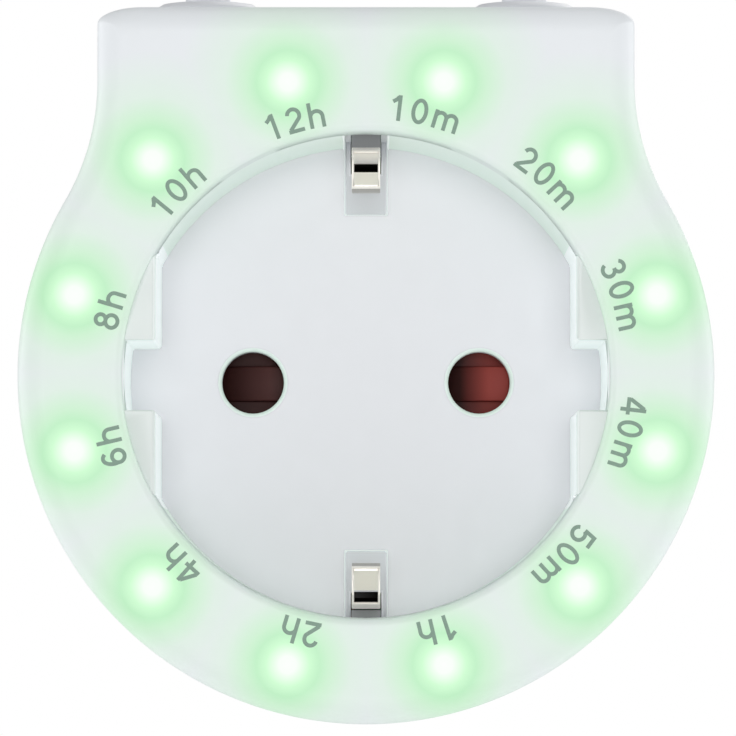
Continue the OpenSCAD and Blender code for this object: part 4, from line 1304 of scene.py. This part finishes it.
@dataclass
class Socket:
    """Recess with its floor, the earth clips, and the shutter with its spring behind the pin holes."""

    round_r: float = 0.14 * MM
    flat_r: float = 0.35 * MM
    flat_x: float = 17.2 * MM
    wall_r: float = 19.9 * MM
    floor_y: float = -25.5 * MM
    pocket_y: float = -24.1 * MM
    pocket_x: float = 1.775 * MM
    notch_z: float = 2.9 * MM
    slot_x: float = 1.2 * MM
    slot_from: float = 17.55 * MM
    slot_to: float = 18.2 * MM
    slot_depth: float = 3 * MM
    flat_y: float = -42 * MM
    back_x: float = 1.22 * MM
    back_y: float = -25.4 * MM
    back_foot_y: float = -23.2 * MM
    back_from: float = 19.1 * MM
    lid_y: float = -40.95 * MM
    lid_from: float = 21.0 * MM
    lid_to: float = 21.3 * MM
    clip_r: float = 0.05 * MM
    leg_foot_y: float = -25.5 * MM
    leg_top_y: float = -37 * MM
    leg_from: float = 17.8 * MM
    leg_to: float = 18.3 * MM
    foot_shift: float = 0.15 * MM
    top_shift: float = 0.35 * MM
    bulge_from: float = 15.6 * MM
    bulge_y: float = -34 * MM
    bulge_shift: float = 0.5 * MM
    window_x: float = 0.85 * MM
    window_shift: float = 0.13 * MM
    tongue_y: float = -29 * MM
    tongue_shift: float = 0.28 * MM
    shutter_r: float = 0.1 * MM
    flats_over: float = 8 * MM
    floor_over: float = 0.4 * MM
    strap_over: float = 1 * MM
    # Shares of painted light (lit_) and painted shade (shade_) for the recess's faces.
    lit_top: float = 0.18
    lit_pocket: float = 0.55
    lit_notch: float = 0.45
    lit_flat: float = 0.5
    lit_wall: float = 0.25
    shade_slot: float = 0.8
    shade_pocket: float = 0.28
    shade_top: float = 0.2
    clip_finish: ClipMetal = ClipMetal("clip_nickel", srgb(240, 236, 227), 0.34, (1.0, 12.0, 12.0),
                                       metallic=0.3)

    def lit(self, face: bmesh.types.BMFace) -> float:
        """Share of painted light that a face of the recess gives off: a green glow on the flats' tops
        and the round wall, and a pale brightening of the notches, the pockets' sides and the flats'
        walls.

        Args:
            face: The face.

        Returns:
            The share.
        """
        middle = face.calc_center_median()
        if math.hypot(middle.x, middle.z) > self.wall_r or middle.y > self.pocket_y:
            return 0.0
        if middle.y < self.flat_y:
            return self.lit_top
        if abs(face.normal.y) > FACING:
            return 0.0
        if abs(middle.x) < self.pocket_x + self.round_r:
            return self.lit_pocket
        if abs(middle.z) < self.notch_z and abs(middle.x) > self.flat_x:
            return self.lit_notch
        return self.lit_flat if abs(abs(middle.x) - self.flat_x) < self.flat_r else self.lit_wall

    def shade(self, face: bmesh.types.BMFace) -> float:
        """How much painted shade darkens a face of the recess, from 0 to 1.

        Args:
            face: The face.

        Returns:
            The share: the pockets' floors, the flats' tops and the slots' backs and lids get painted
                shade.
        """
        middle = face.calc_center_median()
        if abs(middle.x) < TOLERANCE and abs(middle.z) > self.back_from:
            return self.shade_slot
        if abs(face.normal.y) < FACING:
            return 0.0
        if abs(middle.y - self.pocket_y) < TOLERANCE:
            return self.shade_pocket
        top = middle.y < self.flat_y and math.hypot(middle.x, middle.z) < self.wall_r
        return self.shade_top if top else 0.0

    def cup(self) -> None:
        """Softens the recess, closes the slots' backs with plates in painted shade, marks its faces with
        shares of painted light and painted shade, and opens the slots.
        """
        cup = Blank.of_node("socket_cup")
        low, _ = node_box("shutter_slider")
        cup.soften(self.flat_r, 4, lambda middle: middle.y < low.y - self.flats_over
                   and abs(abs(middle.x) - self.flat_x) < TOLERANCE, sharper_than=60)
        cup.soften(self.round_r, 2, lambda middle: middle.y < low.y - self.floor_over
                   and math.hypot(middle.x, middle.z) < self.wall_r)
        # Plates that close the slots' backs; their faces get painted shade.
        for side in (-1, 1):
            cup.box((-self.back_x, self.back_y, side * self.back_from),
                    (self.back_x, self.back_foot_y, side * self.lid_from))
            cup.box((-self.back_x, self.lid_y, side * self.lid_from),
                    (self.back_x, self.back_foot_y, side * self.lid_to))
        # Face attributes with the shares of painted light and painted shade.
        layers = cup.mesh.faces.layers.float
        lit, shade = layers.new(LitCup.lit), layers.new(LitCup.shade)
        for face in cup.mesh.faces:
            face[lit] = self.lit(face)
            face[shade] = self.shade(face)
        piece = cup.piece("socket_recess", "socket_white", replaces=["socket_cup"], weighted=True)
        cutter = Blank()
        for side in (-1, 1):
            near, far = side * self.slot_from, side * self.slot_to
            foot = cutter.loop([(-self.slot_x, near), (self.slot_x, near), (self.slot_x, far),
                                (-self.slot_x, far)], self.floor_y)
            top = cutter.drawn_out(foot, self.slot_depth)
            cutter.flat(foot)
            cutter.flat(top)
        cut(piece, cutter)

    def reshaped(self, point: Vector) -> Vector:
        """Where a point of an earth clip goes: legs upright, bulge and tongue further in.

        Args:
            point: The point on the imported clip.

        Returns:
            Its new place.
        """
        reach = abs(point.z)
        x = point.x
        if abs(abs(x) - self.window_x) < 2 * self.clip_r:
            x += math.copysign(self.window_shift, x)
        front = ramped(point.y, self.leg_foot_y, self.leg_top_y)
        leg = ramped(reach, self.leg_from, self.leg_to)
        bulge = ramped(reach, self.leg_from, self.bulge_from) if point.y < self.bulge_y else 0.0
        tongue = 0.0 if leg else ramped(point.y, self.bulge_y, self.tongue_y)
        reach += leg * (self.foot_shift - front * (self.foot_shift + self.top_shift))
        reach -= bulge * self.bulge_shift + tongue * self.tongue_shift
        return Vector((x, point.y, math.copysign(reach, point.z)))

    def clips(self) -> None:
        """Softens the earth clips and reshapes what stands above the floor."""
        clips = Blank.of_node("front_earth_strap", whole=False)
        clips.soften(self.clip_r, 2, lambda middle: abs(middle.x) > self.window_x + self.clip_r,
                     sharper_than=40)
        for vert in clips.mesh.verts:
            if vert.co.y <= self.floor_y + self.strap_over and abs(vert.co.z) >= self.bulge_from:
                vert.co = self.reshaped(vert.co)
        clips.piece("front_earth_clips", "earth_nickel", replaces=["front_earth_strap"],
                    finish=self.clip_finish, weighted=True)

    def spring(self) -> None:
        """Copies the return spring as a piece with a mesh of its own."""
        coil = Blank.of_node("shutter_spring").piece("return_spring", "spring_steel",
                                                     replaces=["shutter_spring"])
        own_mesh(coil)

    def build(self) -> None:
        """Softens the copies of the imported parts."""
        self.cup()
        self.clips()
        self.spring()
        shutter = Blank.of_node("shutter_slider")
        shutter.soften(self.shutter_r, 3)
        shutter.piece("pin_shutter", "shutter_red", Body.SHUTTER, ["shutter_slider"])


# ------------------------------------------------------------------ buttons


@dataclass
class Buttons:
    """Two push buttons with a domed top and a low round nub in the middle."""

    cap_r: float = 4.5 * MM
    flange_r: float = 5.4 * MM
    flange_t: float = 0.8 * MM
    bore_r: float = 3.3 * MM
    post_r: float = 1.7 * MM
    roof: float = 0.9 * MM
    rise: float = 1.3 * MM
    dome: float = 0.5 * MM
    nub_r: float = 1.8 * MM
    rim_round: float = 0.35 * MM
    post_gap: float = 0.2 * MM
    nub_round: float = 0.2 * MM
    nub_foot: float = 0.1 * MM
    foot_share: float = 0.92
    steps: int = 96

    def profile(self, low: float, high: float, deck: float) -> list[Point2]:
        """Half section of a button.

        Args:
            low: Height of the flange's underside.
            high: Height of the nub's top.
            deck: Height of the shell's top surface.

        Returns:
            Points of radius and height, from the post's foot to the nub's top.
        """
        rim = deck + self.rise
        crown = rim - self.roof
        post = low + self.post_gap
        shoulder = arc((self.cap_r - self.rim_round, rim - self.rim_round), self.rim_round, 0, 70, 5)
        dome = oval((0, rim), self.cap_r, self.dome, 32, 64, 4)
        nub = arc((self.nub_r - self.nub_round, high - self.nub_round), self.nub_round, 0, 90, 4)
        return [(0, post), (self.post_r, post), (self.post_r, crown), (self.bore_r, crown),
                (self.bore_r, low), (self.flange_r, low), (self.flange_r, low + self.flange_t),
                (self.cap_r, low + self.flange_t), *shoulder, *dome,
                (self.nub_r + self.nub_foot, rim + self.dome * self.foot_share), *nub, (0, high)]

    def build(self) -> None:
        """Turns both buttons."""
        _, shell_high = node_box("front_housing")
        for side in Side:
            cap = f"{side.value}_button_cap"
            low, high = node_box(cap)
            blank = Blank()
            blank.turned(self.profile(low.z, high.z, shell_high.z), self.steps, Axis.UP,
                         ((low.x + high.x) / 2, (low.y + high.y) / 2, 0))
            blank.outwards()
            blank.piece(f"{side.value}_push_button", "button_grey", Body(f"{side.value}_button"), [cap])


# ------------------------------------------------------------------ plug


@dataclass
class Plug:
    """Pins and side contacts of the plug at the back."""

    radius: float = 2.4 * MM
    seat_r: float = 2.6 * MM
    collar_r: float = 3.4 * MM
    shank_r: float = 1.6 * MM
    rivet_r: float = 2.3 * MM
    rivet_y: float = 3.0 * MM
    block_y: float = 12.8 * MM
    collar_y: float = 14.8 * MM
    seat_y: float = 17.3 * MM
    tip_round: float = 1.0 * MM
    strap_r: float = 0.1 * MM
    steps: int = 64

    def pin(self, pole: Pole) -> None:
        """Turns one plug pin with a rounded tip.

        Args:
            pole: Which of the two pins.
        """
        node = f"{pole.value}_plug_pin"
        low, high = node_box(node)
        x = (low.x + high.x) / 2
        tip = arc((self.radius - self.tip_round, high.y - self.tip_round), self.tip_round, 0, 80, 6)
        profile = [(0, low.y), (self.rivet_r, low.y), (self.rivet_r, self.rivet_y),
                   (self.shank_r, self.rivet_y), (self.shank_r, self.block_y),
                   (self.collar_r, self.block_y), (self.collar_r, self.collar_y),
                   (self.seat_r, self.collar_y), (self.seat_r, self.seat_y),
                   (self.radius, self.seat_y), *tip, (0, high.y)]
        blank = Blank()
        blank.turned(profile, self.steps, Axis.INTO_WALL, (x, 0, 0))
        blank.outwards()
        blank.piece(f"{pole.value}_pin", "pin_nickel", replaces=[node])

    def build(self) -> None:
        """Turns the pins and softens the side contacts."""
        for pole in Pole:
            self.pin(pole)
        strap = Blank.of_node("rear_earth_strap")
        strap.soften(self.strap_r, 2, sharper_than=40)
        strap.piece("side_earth_contacts", "earth_nickel", replaces=["rear_earth_strap"])


# ------------------------------------------------------------------ screws


@dataclass
class HousingScrews:
    """Four screws that join the shells, with a cross recess in each head."""

    head_r: float = 2.5 * MM
    shank_r: float = 1.4 * MM
    head_h: float = 1.8 * MM
    recess_l: float = 1.35 * MM
    recess_w: float = 0.32 * MM
    recess_d: float = 1.1 * MM
    recess_taper: float = 0.3
    head_round: float = 0.4 * MM
    tip_share: float = 0.6
    tip_l: float = 1 * MM
    steps: int = 48

    def cross(self) -> list[Point2]:
        """Outline of the cross recess around the origin.

        Returns:
            Its points, counter-clockwise.
        """
        long, wide = self.recess_l, self.recess_w
        quarter = [(long, -wide), (long, wide), (wide, wide)]
        points: list[Point2] = []
        for turn in range(4):
            cos, sin = round(math.cos(turn * math.pi / 2)), round(math.sin(turn * math.pi / 2))
            points += [(x * cos - z * sin, x * sin + z * cos) for x, z in quarter]
        return points

    def build(self) -> None:
        """Turns the four screws as one piece and sinks their recesses."""
        low, high = node_box("housing_screws")
        seat_y = high.y - self.head_h
        edge = arc((self.head_r - self.head_round, high.y - self.head_round), self.head_round, 0, 90, 5)
        profile = [(0, low.y), (self.shank_r * self.tip_share, low.y),
                   (self.shank_r, low.y + self.tip_l), (self.shank_r, seat_y),
                   (self.head_r, seat_y), *edge, (0, high.y)]
        places = self.centres()
        blank = Blank()
        for x, z in places:
            blank.turned(profile, self.steps, Axis.INTO_WALL, (x, 0, z))
        blank.outwards()
        piece = blank.piece("shell_screws", "screw_zinc", replaces=["housing_screws"])
        cutter = Blank()
        for x, z in places:
            rings = [cutter.loop([(x + u * share, z + v * share) for u, v in self.cross()], y)
                     for share, y in ((self.recess_taper, high.y - self.recess_d), (1.0, high.y),
                                      (1.0, high.y + self.recess_d))]
            for lower, upper in zip(rings, rings[1:]):
                bmesh.ops.bridge_loops(cutter.mesh, edges=lower + upper)
            cutter.flat(rings[0])
            cutter.flat(rings[-1])
        cut(piece, cutter)

    def centres(self) -> list[tuple[float, ...]]:
        """Places of the screws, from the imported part's separate solids.

        Returns:
            The places in the X-Z plane, in order.
        """
        blank = Blank.of_node("housing_screws")
        left = set(blank.mesh.verts)
        found = set()
        while left:
            group = linked([left.pop()])
            left -= group
            spans = [[vert.co[axis] for vert in group] for axis in (0, 2)]
            found.add(round_place((min(span) + max(span)) / 2 for span in spans))
        blank.mesh.free()
        return sorted(found)


# ------------------------------------------------------------------ inner parts


@dataclass
class InnerParts:
    """Boards, relay, contacts, lights and leads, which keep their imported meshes."""

    def build(self) -> None:
        """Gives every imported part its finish."""
        parts = frame["record"]["subparts"]
        for part in parts:
            materials = frame["nodes"][part["node"]].data.materials
            materials.clear()
            materials.append(FINISHES[part["material_slot"]].material())
        LOG.info("finishes for %d packed parts", len(parts))


# ------------------------------------------------------------------ studio


def stand(thing: bpy.types.Object, place: Vector, target: Vector) -> None:
    """Stands a light or the camera at a place and turns it to its target.

    Args:
        thing: The light or the camera.
        place: Where it stands.
        target: What it looks at.
    """
    thing.location = place
    thing.rotation_euler = (target - place).to_track_quat("-Z", "Y").to_euler()


@dataclass
class SoftBox:
    """A square studio light."""

    name: str
    place: tuple[float, float, float]
    side: float
    power: float

    def build(self, target: Vector) -> None:
        """Hangs the light and turns it to its target.

        Args:
            target: What it shines on.
        """
        lamp = bpy.data.lights.new(self.name, "AREA")
        lamp.shape = "SQUARE"
        lamp.size = self.side
        lamp.energy = self.power
        stand(in_scene(self.name, lamp), Vector(self.place), target)


@dataclass
class Studio:
    """Camera, lights and the pale floor."""

    eye: tuple[float, float, float] = (0.0, -643 * MM, -22 * MM)
    aim: tuple[float, float, float] = (0.163 * MM, -43 * MM, 0.57 * MM)
    seen_width: float = 60.08 * MM
    floor_z: float = -0.12
    floor_side: float = 2.2
    sensor: float = 36.0
    clip_start: float = 0.01
    sky: float = 0.468
    lit_point: tuple[float, float, float] = (0.0, -20 * MM, 0.0)
    boxes: tuple[SoftBox, ...] = (
        SoftBox("front_box", (0.0, -1.25, 0.02), 0.4, 4.36),
        SoftBox("left_box", (-1.2, -0.12, 0.25), 0.7, 4.56),
        SoftBox("right_box", (1.2, -0.12, 0.25), 0.7, 4.56),
        SoftBox("back_box", (0.6, 1.2, 0.8), 1.2, 6.0),
    )

    def camera(self) -> None:
        """Sets the camera in front of the face, a little below its middle."""
        eye, aim = Vector(self.eye), Vector(self.aim)
        data = bpy.data.cameras.new("camera")
        data.sensor_width = self.sensor
        data.lens = self.sensor * (aim - eye).length / self.seen_width
        data.clip_start = self.clip_start
        camera = in_scene("camera", data)
        stand(camera, eye, aim)
        bpy.context.scene.camera = camera

    def sky_light(self) -> None:
        """White surroundings: an even light that the camera sees as pure white."""
        world = bpy.data.worlds.new("studio")
        world.use_nodes = True
        nodes, links = world.node_tree.nodes, world.node_tree.links
        background = nodes["Background"]
        background.inputs["Color"].default_value = (*WHITE, 1.0)
        path = nodes.new("ShaderNodeLightPath")
        strength = nodes.new("ShaderNodeMix")
        strength.data_type = "FLOAT"
        strength.inputs["A"].default_value = self.sky
        strength.inputs["B"].default_value = 1.0
        links.new(path.outputs["Is Camera Ray"], strength.inputs["Factor"])
        links.new(strength.outputs["Result"], background.inputs["Strength"])
        bpy.context.scene.world = world

    def floor(self) -> None:
        """Lays the floor below the timer."""
        blank = Blank()
        bmesh.ops.create_grid(blank.mesh, x_segments=8, y_segments=8, size=self.floor_side / 2,
                              matrix=Matrix.Translation((0, 0, self.floor_z)))
        data = blank.done("floor")
        data.materials.append(Backdrop("floor_paper", srgb(240, 240, 241), glow=0.21).material())
        in_scene("floor", data)

    def build(self) -> None:
        """Sets up the studio."""
        self.camera()
        self.sky_light()
        self.floor()
        for box in self.boxes:
            box.build(Vector(self.lit_point))
        bpy.context.scene.view_settings.view_transform = "Standard"


def main() -> None:
    """Builds the timer and its studio in order."""
    logging.basicConfig(level=logging.INFO, format="%(name)s: %(message)s")
    Studio().build()
    InnerParts().build()
    shells = Shells()
    shells.build()
    TimeScale(shells).build()
    Socket().build()
    Buttons().build()
    Plug().build()
    HousingScrews().build()


if __name__ == "__main__":
    main()
